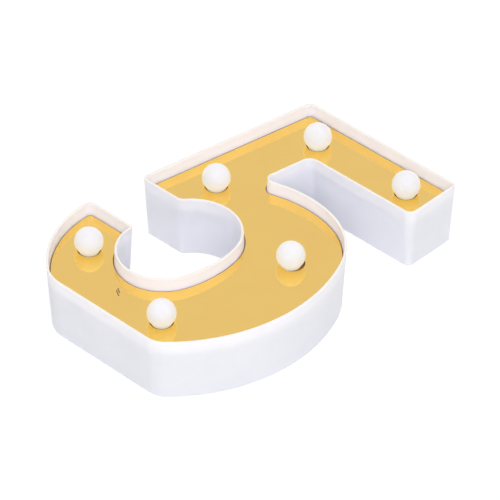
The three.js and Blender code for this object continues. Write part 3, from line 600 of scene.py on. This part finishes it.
def lettering(word, x, y):
    """A word as a tool that engraves the back, to be read from behind"""
    bpy.ops.object.select_all(action="DESELECT")
    bpy.ops.object.text_add()
    piece = bpy.context.active_object
    piece.data.body = word
    piece.data.size = word_height
    piece.data.extrude = word_depth
    piece.data.align_x = "CENTER"
    piece.data.align_y = "CENTER"
    bpy.ops.object.convert(target="MESH")
    piece = bpy.context.active_object
    bpy.ops.object.mode_set(mode="EDIT")
    bpy.ops.mesh.select_all(action="SELECT")
    bpy.ops.mesh.remove_doubles(threshold=merge_distance)
    finish_drawing()
    piece.data.transform(Matrix.Translation((x, y, 0)) @ Matrix.Rotation(math.pi, 4, "Y"))
    return piece


slot_half = (0.0043, 0.0018)
well_half = Vector((0.0075, 0.004))
thumb_radius = 0.006
thumb_depth = 0.0012
word_side = 0.0052
word_rise = 0.0072
word_height = 0.0034
word_depth = 0.0002
tab_half = 0.0015
tab_slot_reach = 0.0017
tab_slot_top = 0.0044
contact_slot_half = 0.0018
contact_slot_width = 0.001
switch_screw_spread = 0.01025
pilot_radius = 0.00105
pilot_low = 0.0017
screw_head_recess = 0.00185
screw_head_room = 0.00305
shank_room = 0.00175
shank_room_low = 0.001
cuts = [
    block_cut((bay_left, bay_low, 0), (bay_right, bay_high, bay_ceiling)),
    round_cut((bay_middle.x, bay_high), -beyond, thumb_depth, thumb_radius),
    block_cut((*(switch_middle - well_half), 0), (*(switch_middle + well_half), well_depth)),
    block_about("switch slot", switch_middle, slot_half, well_depth - beyond, well_top + beyond),
]
for word, side in (("ON", word_side), ("OFF", -word_side)):
    cuts.append(lettering(word, switch_middle.x + side, switch_middle.y + word_rise))
for x in (bay_left + tab_half, bay_right - tab_half):
    low = (x - tab_half, bay_low - tab_slot_reach, tray_floor)
    cuts.append(block("tab slot", low, (x + tab_half, bay_low + beyond, tab_slot_top)))
for x in cell_middles:
    low = (x - contact_slot_half, bay_high - contact_slot_width, bay_ceiling - beyond)
    cuts.append(block("contact slot", low, (x + contact_slot_half, bay_high, bay_top + beyond)))
for x in (switch_middle.x - switch_screw_spread, switch_middle.x + switch_screw_spread):
    place = (x, switch_middle.y)
    cuts.append(pin("pilot hole", place, pilot_radius, pilot_low, well_top + beyond, 24))
for x, y in keyholes:
    cuts.append(round_cut((x, y), -beyond, pad_top + beyond, keyhole_head))
    cuts.append(round_cut((x, y + keyhole_run), -beyond, pad_top + beyond, keyhole_slot))
    low = (x - keyhole_slot, y, 0)
    cuts.append(block_cut(low, (x + keyhole_slot, y + keyhole_run, pad_top + beyond)))
for place in case_screws:
    cuts.append(round_cut(place, -beyond, screw_head_recess, screw_head_room))
    cuts.append(pin("shank hole", place, shank_room, shank_room_low, pad_top + beyond, 32))
work(tray, "DIFFERENCE", cuts)

# The rib under the bay's roof that keeps the two cells apart
cradle_half = 0.003
cradle_end_gap = 0.0055
cradle_sink = 0.0004
cell_room = 0.00775
cradle = block(
    "cradle",
    (bay_middle.x - cradle_half, bay_low + cradle_end_gap, cell_level + cell_radius / 3),
    (bay_middle.x + cradle_half, bay_high - cradle_end_gap, bay_top - cradle_sink),
)
grooves = []
for x in cell_middles:
    groove = pin("groove", (0, 0), cell_room, 0, 2 * bay_half_length, 64)
    lay_down = Matrix.Rotation(-math.pi / 2, 4, "X")
    groove.data.transform(Matrix.Translation((x, bay_low, cell_level)) @ lay_down)
    grooves.append(groove)
work(cradle, "DIFFERENCE", grooves)
work(tray, "UNION", [cradle])
smooth_by_angle(tray)


def set_inputs(node, values):
    for name, value in values.items():
        node.inputs[name].default_value = value


def new_finish(name, roughness, metallic=0.0):
    """A material, its nodes and its shader"""
    finish = bpy.data.materials.new(name)
    finish.use_nodes = True
    shader = finish.node_tree.nodes["Principled BSDF"]
    set_inputs(shader, {"Metallic": metallic, "Roughness": roughness})
    return finish, finish.node_tree, shader


def noise_of(tree, scale, detail=3.0):
    """A noise pattern that stays with the piece"""
    place = tree.nodes.new("ShaderNodeTexCoord")
    noise = tree.nodes.new("ShaderNodeTexNoise")
    set_inputs(noise, {"Scale": scale, "Detail": detail})
    tree.links.new(place.outputs["Object"], noise.inputs["Vector"])
    return noise.outputs["Fac"]


def colour_between(tree, shader, pattern, first, second):
    """Colours that drift between two near tones"""
    ramp = tree.nodes.new("ShaderNodeValToRGB")
    ramp.color_ramp.elements[0].position = 0.35
    ramp.color_ramp.elements[1].position = 0.65
    ramp.color_ramp.elements[0].color = (*first, 1)
    ramp.color_ramp.elements[1].color = (*second, 1)
    tree.links.new(pattern, ramp.inputs["Fac"])
    tree.links.new(ramp.outputs["Color"], shader.inputs["Base Color"])


def roughness_between(tree, shader, pattern, low, high):
    span = tree.nodes.new("ShaderNodeMapRange")
    set_inputs(span, {"From Min": 0.3, "From Max": 0.7, "To Min": low, "To Max": high})
    tree.links.new(pattern, span.inputs["Value"])
    tree.links.new(span.outputs["Result"], shader.inputs["Roughness"])


def relief(tree, shader, pattern, depth, strength=1.0):
    bump = tree.nodes.new("ShaderNodeBump")
    set_inputs(bump, {"Strength": strength, "Distance": depth})
    tree.links.new(pattern, bump.inputs["Height"])
    tree.links.new(bump.outputs["Normal"], shader.inputs["Normal"])


def uneven_finish(name, metallic, tones, gloss, grain):
    """A faint drift of tone, uneven gloss and a fine texture, each given after its pattern's scale"""
    finish, tree, shader = new_finish(name, gloss[1], metallic)
    colour_between(tree, shader, noise_of(tree, tones[0]), *tones[1:])
    roughness_between(tree, shader, noise_of(tree, gloss[0]), *gloss[1:])
    relief(tree, shader, noise_of(tree, grain[0]), grain[1])
    return finish


def moulded_plastic(name, first, second, rough, smooth, grain):
    return uneven_finish(name, 0, (60, first, second), (240, smooth, rough), grain)


def dress(piece, body, slot_name, *finishes):
    """Gives a new piece its finishes and its body; its slot name is not used"""
    piece.data.materials.clear()
    for finish in finishes:
        piece.data.materials.append(finish)
    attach(piece, body)


white_plastic = moulded_plastic(
    "white moulded plastic", (0.84, 0.838, 0.882), (0.86, 0.858, 0.897), 0.42, 0.34, (2200, 0.0000015)
)
# The rim's top takes a warmer tone than the wall: painted warm light on the top of the rim.
rim_with_painted_warm_light = moulded_plastic(
    "rim top with painted warm light", (0.82, 0.762, 0.71), (0.84, 0.782, 0.73), 0.42, 0.34, (2200, 0.0000015)
)

# The wall is thin enough for some of the light above the mirror to shine through it
for finish in (white_plastic, rim_with_painted_warm_light):
    set_inputs(
        finish.node_tree.nodes["Principled BSDF"],
        {
            "Subsurface Weight": 0.55,
            "Subsurface Radius": (1.0, 0.95, 0.9),
            "Subsurface Scale": 0.004,
        },
    )

dress(tray, "root", "white_plastic", white_plastic, rim_with_painted_warm_light)
# Painted warm light: the faces on top of the rim take the warmer tone.
for face in tray.data.polygons:
    if face.center.z > tray_depth - rim_edge and face.normal.z > 0.2:
        face.material_index = 1
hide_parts("case")


# The slide switch has a black housing that is screwed to the tray's inside, and a knob with three ridges
# that slides in the well. Both are moulded in matt black plastic.

black_plastic = moulded_plastic(
    "black moulded plastic", (0.022, 0.022, 0.024), (0.03, 0.03, 0.032), 0.55, 0.42, (3000, 0.000002)
)


def shade_node(finish, *names):
    """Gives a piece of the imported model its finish"""
    for name in names:
        piece = nodes[name]
        if not piece.data.materials:
            piece.data.materials.append(finish)
        for slot in piece.material_slots:
            slot.material = finish


def select_faces(piece, chosen):
    """Selects the faces of the mesh being edited that a test on middle and normal picks"""
    bpy.ops.mesh.select_mode(type="FACE")
    bpy.ops.mesh.select_all(action="DESELECT")
    drawing = bmesh.from_edit_mesh(piece.data)
    for face in drawing.faces:
        face.select_set(chosen(face.calc_center_median(), face.normal))
    bmesh.update_edit_mesh(piece.data)


def soften_edges(piece, width, segments=2, degrees=40):
    """Rounds a piece's sharp edges a little, as a mould does"""
    select_only(piece)
    edge = piece.modifiers.new("softened", "BEVEL")
    edge.width = width
    edge.segments = segments
    edge.limit_method = "ANGLE"
    edge.angle_limit = math.radians(degrees)
    edge.use_clamp_overlap = True
    bpy.ops.object.modifier_apply(modifier=edge.name)
    smooth_by_angle(piece)


switch_travel = 0.004
knob_middle = (switch_middle.x - switch_travel / 2, switch_middle.y)
knob_half = (0.003, 0.0025)
knob_low = 0.0006
knob_high = 0.002
knob_stem_half = (0.002, 0.0015)
knob_stem_ends = (0.0012, 0.0047)
knob_plate_half = (0.00325, 0.002)
knob_plate_ends = (0.0041, 0.0053)
ridges = (-0.002, 0, 0.002)
ridge_half_width = 0.0004
ridge_height = 0.0004
knob = block_about("switch_knob", knob_middle, knob_half, knob_low, knob_high)
bpy.ops.object.mode_set(mode="EDIT")
for ridge in ridges:
    for side in (-ridge_half_width, ridge_half_width):
        select_faces(knob, lambda middle, normal: normal.z < -0.5)
        plane = (knob_middle[0] + ridge + side, 0, 0)
        bpy.ops.mesh.bisect(plane_co=plane, plane_no=(1, 0, 0), threshold=merge_distance)
for ridge in ridges:
    x = knob_middle[0] + ridge
    near = ridge_half_width / 2
    select_faces(knob, lambda middle, normal: normal.z < -0.5 and abs(middle.x - x) < near)
    extrude((0, 0, -ridge_height))
finish_drawing()
knob_stem = block_about("stem", knob_middle, knob_stem_half, *knob_stem_ends)
knob_plate = block_about("plate", knob_middle, knob_plate_half, *knob_plate_ends)
work(knob, "UNION", [knob_stem, knob_plate])
soften_edges(knob, 0.00012)
dress(knob, "switch_slider", "black_plastic", black_plastic)
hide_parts("switch_slider")


def fine_copy(node, name, flat_faces=True):
    """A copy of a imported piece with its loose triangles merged, and its flat faces made whole"""
    piece = nodes[node].copy()
    piece.data = nodes[node].data.copy()
    piece.name = name
    piece.data.name = name
    piece.parent = None
    piece.matrix_world = Matrix.Identity(4)
    bpy.context.scene.collection.objects.link(piece)
    select_only(piece)
    bpy.ops.object.mode_set(mode="EDIT")
    bpy.ops.mesh.select_all(action="SELECT")
    bpy.ops.mesh.remove_doubles(threshold=merge_distance)
    if flat_faces:
        bpy.ops.mesh.dissolve_limited(angle_limit=math.radians(0.5))
    bpy.ops.object.mode_set(mode="OBJECT")
    return piece


housing = fine_copy("switch_body", "switch_housing")
soften_edges(housing, 0.0002)
dress(housing, "root", "black_plastic", black_plastic)
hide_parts("switch_body")


# Ten plated steel screws hold the light together: eight pan heads with a cross recess draw the carrier
# down from the back, and two small ones hold the switch.


def one_at_each(first, name, places):
    """A piece, and after it its copies at the other places, each with its own mesh"""
    yield first
    for number, place in enumerate(places[1:], 2):
        copy = first.copy()
        copy.data = first.data.copy()
        copy.name = f"{name}_{number}"
        copy.data.name = copy.name
        shift = (place[0] - places[0][0], place[1] - places[0][1], 0)
        copy.data.transform(Matrix.Translation(shift))
        bpy.context.scene.collection.objects.link(copy)
        yield copy


def cross_recess(x, y, low):
    """The two tapered blades of a cross recess, as tools"""
    reach = 0.0015
    width = 0.0003
    depth = 0.001
    taper_share = 0.6
    blades = []
    for half in (Vector((reach, width, 0)), Vector((width, reach, 0))):
        foot = (x - half.x, y - half.y, low - depth / 2)
        blade = block("blade", foot, (x + half.x, y + half.y, low + depth))
        bpy.ops.object.mode_set(mode="EDIT")
        select_faces(blade, lambda middle, normal: normal.z > 0.5)
        bpy.ops.transform.resize(value=(taper_share, taper_share, 1))
        finish_drawing()
        blades.append(blade)
    return blades


steel_tones = (400, (0.56, 0.57, 0.58), (0.66, 0.66, 0.67))
plated_steel = uneven_finish("plated steel", 1, steel_tones, (900, 0.22, 0.34), (5000, 0.000001))
head_low = 0.0002
head_radius = 0.00275
head_high = 0.0017
shank_radius = 0.00145
screw_tip = 0.0137
dome_depth = 0.0006
dome_edge = 0.0007
head_chamfer = 0.0001
thread_depth = 0.00028
profile = [
    (head_radius * math.sin(angle), head_low + dome_depth * (1 - math.cos(angle)))
    for angle in (0, 0.35, 0.7, 1.05, 1.3)
]
profile += [
    (head_radius, head_low + dome_edge),
    (head_radius, head_high - head_chamfer),
    (head_radius - head_chamfer, head_high),
    (shank_radius, head_high),
]
turns = 11
plain_shank = 0.0012
thread_low = head_high + plain_shank
pitch = (screw_tip - shank_radius - thread_low) / turns
for turn in range(turns):
    low = thread_low + turn * pitch
    profile += [(shank_radius - thread_depth, low), (shank_radius, low + pitch / 2)]
profile += [(shank_radius - thread_depth, screw_tip - shank_radius), (0, screw_tip)]
first_screw = turned("case_screw_head_1", case_screws[0], profile, 32)
work(first_screw, "DIFFERENCE", cross_recess(*case_screws[0], head_low))
smooth_by_angle(first_screw)
for number, screw in enumerate(one_at_each(first_screw, "case_screw_head", case_screws), 1):
    dress(screw, "root", "plated_steel", plated_steel)
    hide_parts(f"case_screw_{number}")
shade_node(plated_steel, "switch_screw_1", "switch_screw_2")


# The carrier is an ivory moulded plate behind the mirror, with a skirt round its edge and a socket for
# each globe. A plug in each socket holds a clear 5 mm diode up into its globe.

ivory_plastic = moulded_plastic(
    "ivory moulded plastic", (0.74, 0.71, 0.63), (0.79, 0.76, 0.69), 0.55, 0.45, (1800, 0.000003)
)
clear_resin, resin_tree, resin = new_finish("clear cast resin", 0.06)
set_inputs(resin, {"IOR": 1.5, "Transmission Weight": 0.9})
colour_between(resin_tree, resin, noise_of(resin_tree, 500), (0.92, 0.94, 0.95), (0.97, 0.98, 0.98))
roughness_between(resin_tree, resin, noise_of(resin_tree, 1500), 0.04, 0.1)
shade_node(ivory_plastic, "carrier_plate", *[f"led_holder_{number}" for number in range(1, 7)])
shade_node(clear_resin, *[f"led_{number}" for number in range(1, 7)])


# Six blown globes of opal plastic stand in the sockets. Each is a hollow ball that closes into a short
# neck, which goes down through a hole in the mirror.

globe_radius = 0.0083
globe_wall = 0.001
neck_radius = 0.0055
globe_level = 0.039
neck_foot = 0.0239
neck_chamfer = 0.0003
lamp_places = [middle_of(f"globe_{number}") for number in range(1, 7)]


def ball(radius, neck, steps):
    """A ball's profile from its top down to where the neck starts"""
    sweep = math.pi - math.asin(neck / radius)
    angles = [sweep * step / steps for step in range(steps + 1)]
    return [(radius * math.sin(angle), globe_level + radius * math.cos(angle)) for angle in angles]


outside = ball(globe_radius, neck_radius, 40)
inside = ball(globe_radius - globe_wall, neck_radius - globe_wall, 24)
neck_rim = [
    (neck_radius, neck_foot + neck_chamfer),
    (neck_radius - neck_chamfer, neck_foot),
    (neck_radius - globe_wall + neck_chamfer, neck_foot),
    (neck_radius - globe_wall, neck_foot + neck_chamfer),
]
globe_profile = [*outside, *neck_rim, *reversed(inside)]
first_globe = turned("globe_shell_1", lamp_places[0], globe_profile, 80)
smooth_by_angle(first_globe)

# The globes' own tones are bluish, to offset the yellow of their partly painted glow.
opal_tones_offsetting_glow = (120, (0.368, 0.418, 0.665), (0.388, 0.438, 0.685))
opal_plastic = uneven_finish("opal plastic with painted glow", 0, opal_tones_offsetting_glow, (300, 0.2, 0.28), (1500, 0.000001))
# The glow is partly the diodes' light and partly painted light: its warm yellow stands in for the gold
# mirror's light on the globes, and it evens out their shading.
set_inputs(
    opal_plastic.node_tree.nodes["Principled BSDF"],
    {
        "IOR": 1.49,
        "Subsurface Weight": 0.7,
        "Subsurface Radius": (1.0, 0.9, 0.8),
        "Subsurface Scale": 0.005,
        "Emission Color": (1.0, 0.86, 0.36, 1),
        "Emission Strength": 0.42,
    },
)
for number, globe in enumerate(one_at_each(first_globe, "globe_shell", lamp_places), 1):
    dress(globe, "root", "opal_plastic", opal_plastic)
    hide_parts(f"globe_{number}")


# The mirror is a gold tinted sheet, 1 mm thick, taped to the carrier 8 mm below the rim. A hole is cut
# in it for each globe's neck, and a ledge stands 1 mm into each hole. The cut edges are dark brown, partly
# their own colour and partly painted shade for the gaps round the sheet and the necks. The ledges and a
# shallow slope round the sheet's edge are there to carry that painted shade.

mirror_bottom = 0.032
mirror_top = 0.033
mirror_gap = 0.0003
mirror_hole = 0.0069
painted_shade_ledge_hole = 0.0059
painted_shade_ledge_top = 0.0324
edge_width = 0.00035
edge_drop = 0.0001
third_hole = 0.0072
third_hole_shift = Vector((0.00056, 0.00086))
scratches = ((-0.0128, -0.0867, 0.0052, -31), (-0.0139, -0.0847, 0.0044, -32))
scratch_half_width = 0.0003


def sheet_inset(level):
    return taper(level) + tray_wall + mirror_gap


# The sheet's top edge slopes down a little, so that a dark band shows round it: painted shade for the gap
# at the wall.
mirror = outline_shell(
    "mirror_sheet",
    [
        (sheet_inset(mirror_bottom), mirror_bottom),
        (sheet_inset(mirror_top - edge_drop), mirror_top - edge_drop),
        (sheet_inset(mirror_top) + edge_width, mirror_top),
    ],
)
mirror_cuts = []
above = mirror_top + mirror_gap
below = mirror_bottom - mirror_gap
for number, place in enumerate(lamp_places, 1):
    middle = Vector(place)
    radius = mirror_hole
    if number == 3:
        middle += third_hole_shift
        radius = third_hole
    mirror_cuts.append(pin("hole", middle, radius, painted_shade_ledge_top, above, 96))
    # The narrower hole below leaves a dark ledge round each neck: painted shade in the gap round the neck.
    mirror_cuts.append(pin("painted shade ledge hole", place, painted_shade_ledge_hole, below, above, 96))
for x, y, length, bearing in scratches:
    half = (length / 2, scratch_half_width)
    scratch = block_about("scratch", (0, 0), half, mirror_top - edge_drop, mirror_top + edge_drop)
    turn = Matrix.Rotation(math.radians(bearing), 4, "Z")
    scratch.data.transform(Matrix.Translation((x, y, 0)) @ turn)
    mirror_cuts.append(scratch)
work(mirror, "DIFFERENCE", mirror_cuts)
smooth_by_angle(mirror)

gold_mirror, gold_tree, gold = new_finish("gold mirror", 0.03, 1.0)
colour_between(gold_tree, gold, noise_of(gold_tree, 30), (0.99, 0.65, 0.112), (1.0, 0.67, 0.12))
roughness_between(gold_tree, gold, noise_of(gold_tree, 80), 0.02, 0.045)
set_inputs(gold, {"Coat Weight": 1.0, "Coat Roughness": 0.02, "Coat IOR": 1.49})
relief(gold_tree, gold, noise_of(gold_tree, 12, 1.0), 0.00001, 0.5)
# Dark brown for the cut edges and scratches, partly their own colour and partly painted shade for the gaps
# at the edge and the holes.
cut_edge_and_painted_shade = moulded_plastic(
    "dark cut edge and painted shade", (0.16, 0.06, 0.02), (0.22, 0.09, 0.03), 0.6, 0.5, (4000, 0.000004)
)
dress(mirror, "root", "gold_mirror", gold_mirror, cut_edge_and_painted_shade)
# The slope round the edge, the hole walls, the ledges and the scratches take the dark finish; on the slope
# and the ledges it is painted shade.
for face in mirror.data.polygons:
    if face.normal.z < 0.99 or face.center.z < mirror_top - edge_drop / 3:
        face.material_index = 1
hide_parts("mirror_panel")


# The harness is two insulated wires that pass under every diode, with three short leads between the
# battery contacts, the switch and the harness.


def smoothed_copy(node, name, levels=2):
    """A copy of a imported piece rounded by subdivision"""
    piece = fine_copy(node, name, flat_faces=False)
    rounder = piece.modifiers.new("rounded", "SUBSURF")
    rounder.levels = levels
    rounder.render_levels = levels
    bpy.ops.object.modifier_apply(modifier=rounder.name)
    smooth_by_angle(piece, 60)
    return piece


red_insulation = moulded_plastic(
    "red insulation", (0.36, 0.012, 0.01), (0.42, 0.018, 0.014), 0.5, 0.36, (1500, 0.000006)
)
black_insulation = moulded_plastic(
    "black insulation", (0.018, 0.018, 0.02), (0.03, 0.03, 0.032), 0.5, 0.38, (1500, 0.000006)
)
wires = [
    ("red_insulation", red_insulation, ("harness_positive", "feed_positive", "feed_switched")),
    ("black_insulation", black_insulation, ("harness_negative", "feed_negative")),
]
for slot_name, insulation, names in wires:
    for name in names:
        wire = smoothed_copy(name, name + "_wire")
        dress(wire, "root", slot_name, insulation)
        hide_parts(name)


# Two dry cells lie side by side in the bay, one each way round. Each is a steel can in a printed film
# jacket, with a nub at its positive end and a dished plate at its negative end.

cell_length = 0.0505
can_radius = 0.0062
band_low = 0.0382
band_high = 0.0482
band_edge = 0.0486
cell_profile = [
    (0, 0.0004), (0.0048, 0.0004), (0.0052, 0), (0.0064, 0), (0.0068, 0.0001), (0.0071, 0.0004),
    (cell_radius, 0.0009), (cell_radius, band_low), (cell_radius, band_high), (0.0071, 0.0488),
    (0.0067, 0.0492), (0.0060, 0.0492), (0.0057, 0.0489), (0.0030, 0.0489), (0.0028, 0.0491),
    (0.0027, 0.0501), (0.0025, 0.0504), (0.0022, cell_length), (0, cell_length),
]
jacket_tones = (90, (0.065, 0.072, 0.085), (0.085, 0.092, 0.105))
jacket = uneven_finish("cell jacket", 0.35, jacket_tones, (350, 0.26, 0.36), (700, 0.000002))
band_tones = (90, (0.52, 0.27, 0.11), (0.58, 0.31, 0.13))
band = uneven_finish("cell band", 0.6, band_tones, (350, 0.24, 0.34), (700, 0.000002))
contact_space = 0.001
cells = [
    ("battery_1", -cell_spread, bay_high - contact_space - cell_length, -1),
    ("battery_2", cell_spread, bay_low + contact_space + cell_length, 1),
]
for name, spread, foot, turn in cells:
    cell = turned(name + "_cell", (0, 0), cell_profile, 64)
    dress(cell, "root", "cell_jacket", plated_steel, jacket, band)
    for face in cell.data.polygons:
        if face.center.xy.length > can_radius:
            face.material_index = 2 if band_low < face.center.z < band_edge else 1
    smooth_by_angle(cell)
    lay_down = Matrix.Rotation(turn * math.pi / 2, 4, "X")
    place = Matrix.Translation((bay_middle.x + spread, foot, cell_level))
    cell.data.transform(place @ lay_down)
    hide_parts(name)


# The contacts are pressed from thin plated steel sheet: one behind each cell at the upper end, with a
# tab out through the roof, and a bridge across both at the lower end. A conical spring presses each cell.

for name in ("contact_positive", "contact_negative", "contact_bridge"):
    contact = fine_copy(name, name + "_sheet")
    soften_edges(contact, 0.0001)
    dress(contact, "root", "plated_steel", plated_steel)
    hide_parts(name)

spring_wire = 0.00035
spring_wide_radius = 0.0033
spring_narrow_radius = 0.0022
spring_seat = 0.00135
spring_reach = 0.00435
spring_turns = 4
coil_steps = 32
for name, side in (("battery_spring_1", -1), ("battery_spring_2", 1)):
    end_wall = bay_high if side > 0 else bay_low
    start = end_wall - side * spring_seat
    end = end_wall - side * spring_reach
    coil = bpy.data.curves.new(name + "_coil", "CURVE")
    coil.dimensions = "3D"
    coil.bevel_depth = spring_wire
    coil.bevel_resolution = 3
    coil.use_fill_caps = True
    path = coil.splines.new("POLY")
    count = spring_turns * coil_steps + 1
    path.points.add(count - 1)
    for step in range(count):
        along = step / (count - 1)
        angle = 2 * math.pi * spring_turns * along
        radius = spring_wide_radius + (spring_narrow_radius - spring_wide_radius) * along
        x = bay_middle.x + side * cell_spread + radius * math.cos(angle)
        z = cell_level + radius * math.sin(angle)
        path.points[step].co = (x, start + (end - start) * along, z, 1)
    spring = bpy.data.objects.new(name + "_coil", coil)
    bpy.context.scene.collection.objects.link(spring)
    select_only(spring)
    bpy.ops.object.convert(target="MESH")
    spring = bpy.context.active_object
    smooth_by_angle(spring)
    dress(spring, "root", "plated_steel", plated_steel)
    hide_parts(name)


# The battery door is a snap door in the tray's white plastic. Two tabs at its lower end hook into the
# tray, a sprung latch holds its upper end, and five grooves give the thumb a grip.

first_groove = 0.0085
groove_pitch = 0.0016
groove_half = (0.006, 0.0004)
groove_top = 0.0007
door = fine_copy("battery_door", "bay_door")
groove_tools = []
for number in range(5):
    place = (bay_middle.x, bay_high - first_groove - number * groove_pitch)
    groove_tools.append(block_about("grip groove", place, groove_half, -beyond, groove_top))
work(door, "DIFFERENCE", groove_tools)
soften_edges(door, 0.00012)
dress(door, "battery_door", "white_plastic", white_plastic)
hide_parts("battery_door")


# The light lies on a large pale floor. The floor looks white to the camera, and in mirrors and clear
# pieces, and it keeps a faint shadow.


def combined(tree, operation, first, second):
    """One number worked out from two others"""
    outcome = tree.nodes.new("ShaderNodeMath")
    outcome.operation = operation
    tree.links.new(first, outcome.inputs[0])
    tree.links.new(second, outcome.inputs[1])
    return outcome.outputs[0]


def ray_choice(tree, pick, first, second):
    """The second shader for the rays that are picked, and the first for all others"""
    choice = tree.nodes.new("ShaderNodeMixShader")
    tree.links.new(pick, choice.inputs["Fac"])
    tree.links.new(first, choice.inputs[1])
    tree.links.new(second, choice.inputs[2])
    return choice.outputs[0]


bpy.ops.object.select_all(action="DESELECT")
bpy.ops.mesh.primitive_plane_add(size=8, location=(0, 0, 0))
floor = bpy.context.active_object
floor.name = "floor"
pale, pale_tree, pale_shader = new_finish("pale floor", 0.8)
set_inputs(pale_shader, {"Base Color": (0.8, 0.8, 0.81, 1), "Specular IOR Level": 0})
rays = pale_tree.nodes.new("ShaderNodeLightPath").outputs
reflected = combined(pale_tree, "MAXIMUM", rays["Is Glossy Ray"], rays["Is Transmission Ray"])
seen = combined(pale_tree, "MAXIMUM", rays["Is Camera Ray"], reflected)
backdrop = pale_tree.nodes.new("ShaderNodeEmission")
set_inputs(backdrop, {"Color": (1, 1, 1, 1), "Strength": 0.87})
shadowed = pale_tree.nodes.new("ShaderNodeBsdfDiffuse")
set_inputs(shadowed, {"Color": (0.16, 0.16, 0.16, 1)})
white_floor = pale_tree.nodes.new("ShaderNodeAddShader")
pale_tree.links.new(backdrop.outputs[0], white_floor.inputs[0])
pale_tree.links.new(shadowed.outputs[0], white_floor.inputs[1])
floor_look = ray_choice(pale_tree, seen, pale_shader.outputs[0], white_floor.outputs[0])
pale_tree.links.new(floor_look, pale_tree.nodes["Material Output"].inputs["Surface"])
floor.data.materials.append(pale)


# The studio is a pale surround, brighter overhead, with a large soft lamp at the front right and two
# weak ones, at the right and behind. The camera sees the surround white and the mirror sees it pale,
# and what the mirror throws on the plastic is cooler.

world = bpy.data.worlds.new("studio")
bpy.context.scene.world = world
world.use_nodes = True
surround = world.node_tree
direction = surround.nodes.new("ShaderNodeTexCoord")
height = surround.nodes.new("ShaderNodeSeparateXYZ")
surround.links.new(direction.outputs["Generated"], height.inputs[0])
rays = surround.nodes.new("ShaderNodeLightPath").outputs


def surround_light(colour, at_horizon, overhead, full_height):
    """A light of the surround, with its strengths at the horizon and from a height upwards"""
    light = surround.nodes.new("ShaderNodeBackground")
    set_inputs(light, {"Color": (*colour, 1)})
    easing = surround.nodes.new("ShaderNodeMapRange")
    set_inputs(easing, {"From Max": full_height, "To Min": at_horizon, "To Max": overhead})
    surround.links.new(height.outputs["Z"], easing.inputs["Value"])
    surround.links.new(easing.outputs["Result"], light.inputs["Strength"])
    return light.outputs[0]


ambient = surround_light((1, 1, 1), 0.15, 1.16, 1.0)
mirrored = surround_light((0.92, 0.9, 1.08), 1.0, 0.88, 0.5)
thrown = surround_light((0.5, 0.54, 1.35), 3.85, 3.85, 1.0)
seen_white = surround_light((1, 1, 1), 1.0, 1.0, 1.0)
from_plastic = combined(surround, "MINIMUM", rays["Diffuse Depth"], rays["Is Glossy Ray"])
reflected = combined(surround, "MAXIMUM", rays["Is Glossy Ray"], rays["Is Transmission Ray"])
lit = ray_choice(surround, reflected, ambient, mirrored)
lit = ray_choice(surround, from_plastic, lit, thrown)
lit = ray_choice(surround, rays["Is Camera Ray"], lit, seen_white)
surround.links.new(lit, surround.nodes["World Output"].inputs["Surface"])

lamp_distance = 2.0
lamp_size = 1.2
lamps = [
    ("softbox", -46, 41, 19),
    ("fill", 10, 25, 2),
    ("rear fill", 140, 35, 2.4),
]
for name, bearing, climb, power in lamps:
    turn = Matrix.Rotation(math.radians(bearing), 3, "Z") @ Matrix.Rotation(math.radians(-climb), 3, "Y")
    towards_lamp = turn @ Vector((1, 0, 0))
    light = bpy.data.lights.new(name, "AREA")
    light.shape = "SQUARE"
    light.size = lamp_size
    light.energy = power
    lamp = bpy.data.objects.new(name, light)
    lamp.visible_glossy = False
    lamp.location = towards_lamp * lamp_distance
    lamp.rotation_euler = towards_lamp.to_track_quat("Z", "Y").to_euler()
    bpy.context.scene.collection.objects.link(lamp)


# The camera looks at the numeral's foot side from the right, 39 degrees above the floor, from where
# the photograph was taken.

camera_climb = 0.6860685567
camera_bearing = -0.7509806397
camera_roll = 0.0047192224
camera_place = (1.116706, -1.188674, 1.355053)
focal_length_pixels = 3687.612
photo_width_pixels = 500
upright = Matrix(
    (
        (1, 0, 0),
        (0, -math.sin(camera_climb), -math.cos(camera_climb)),
        (0, math.cos(camera_climb), -math.sin(camera_climb)),
    )
)
looking = Matrix.Rotation(camera_roll, 3, "Z") @ upright @ Matrix.Rotation(camera_bearing, 3, "Z")
right, down, forward = looking
view = bpy.data.cameras.new("camera")
view.sensor_width = 36
view.lens = focal_length_pixels / photo_width_pixels * view.sensor_width
view.clip_end = 20
camera = bpy.data.objects.new("camera", view)
camera.matrix_world = Matrix((right, -down, -forward)).transposed().to_4x4()
camera.location = camera_place
bpy.context.scene.collection.objects.link(camera)
bpy.context.scene.camera = camera
bpy.context.scene.view_settings.view_transform = "Standard"
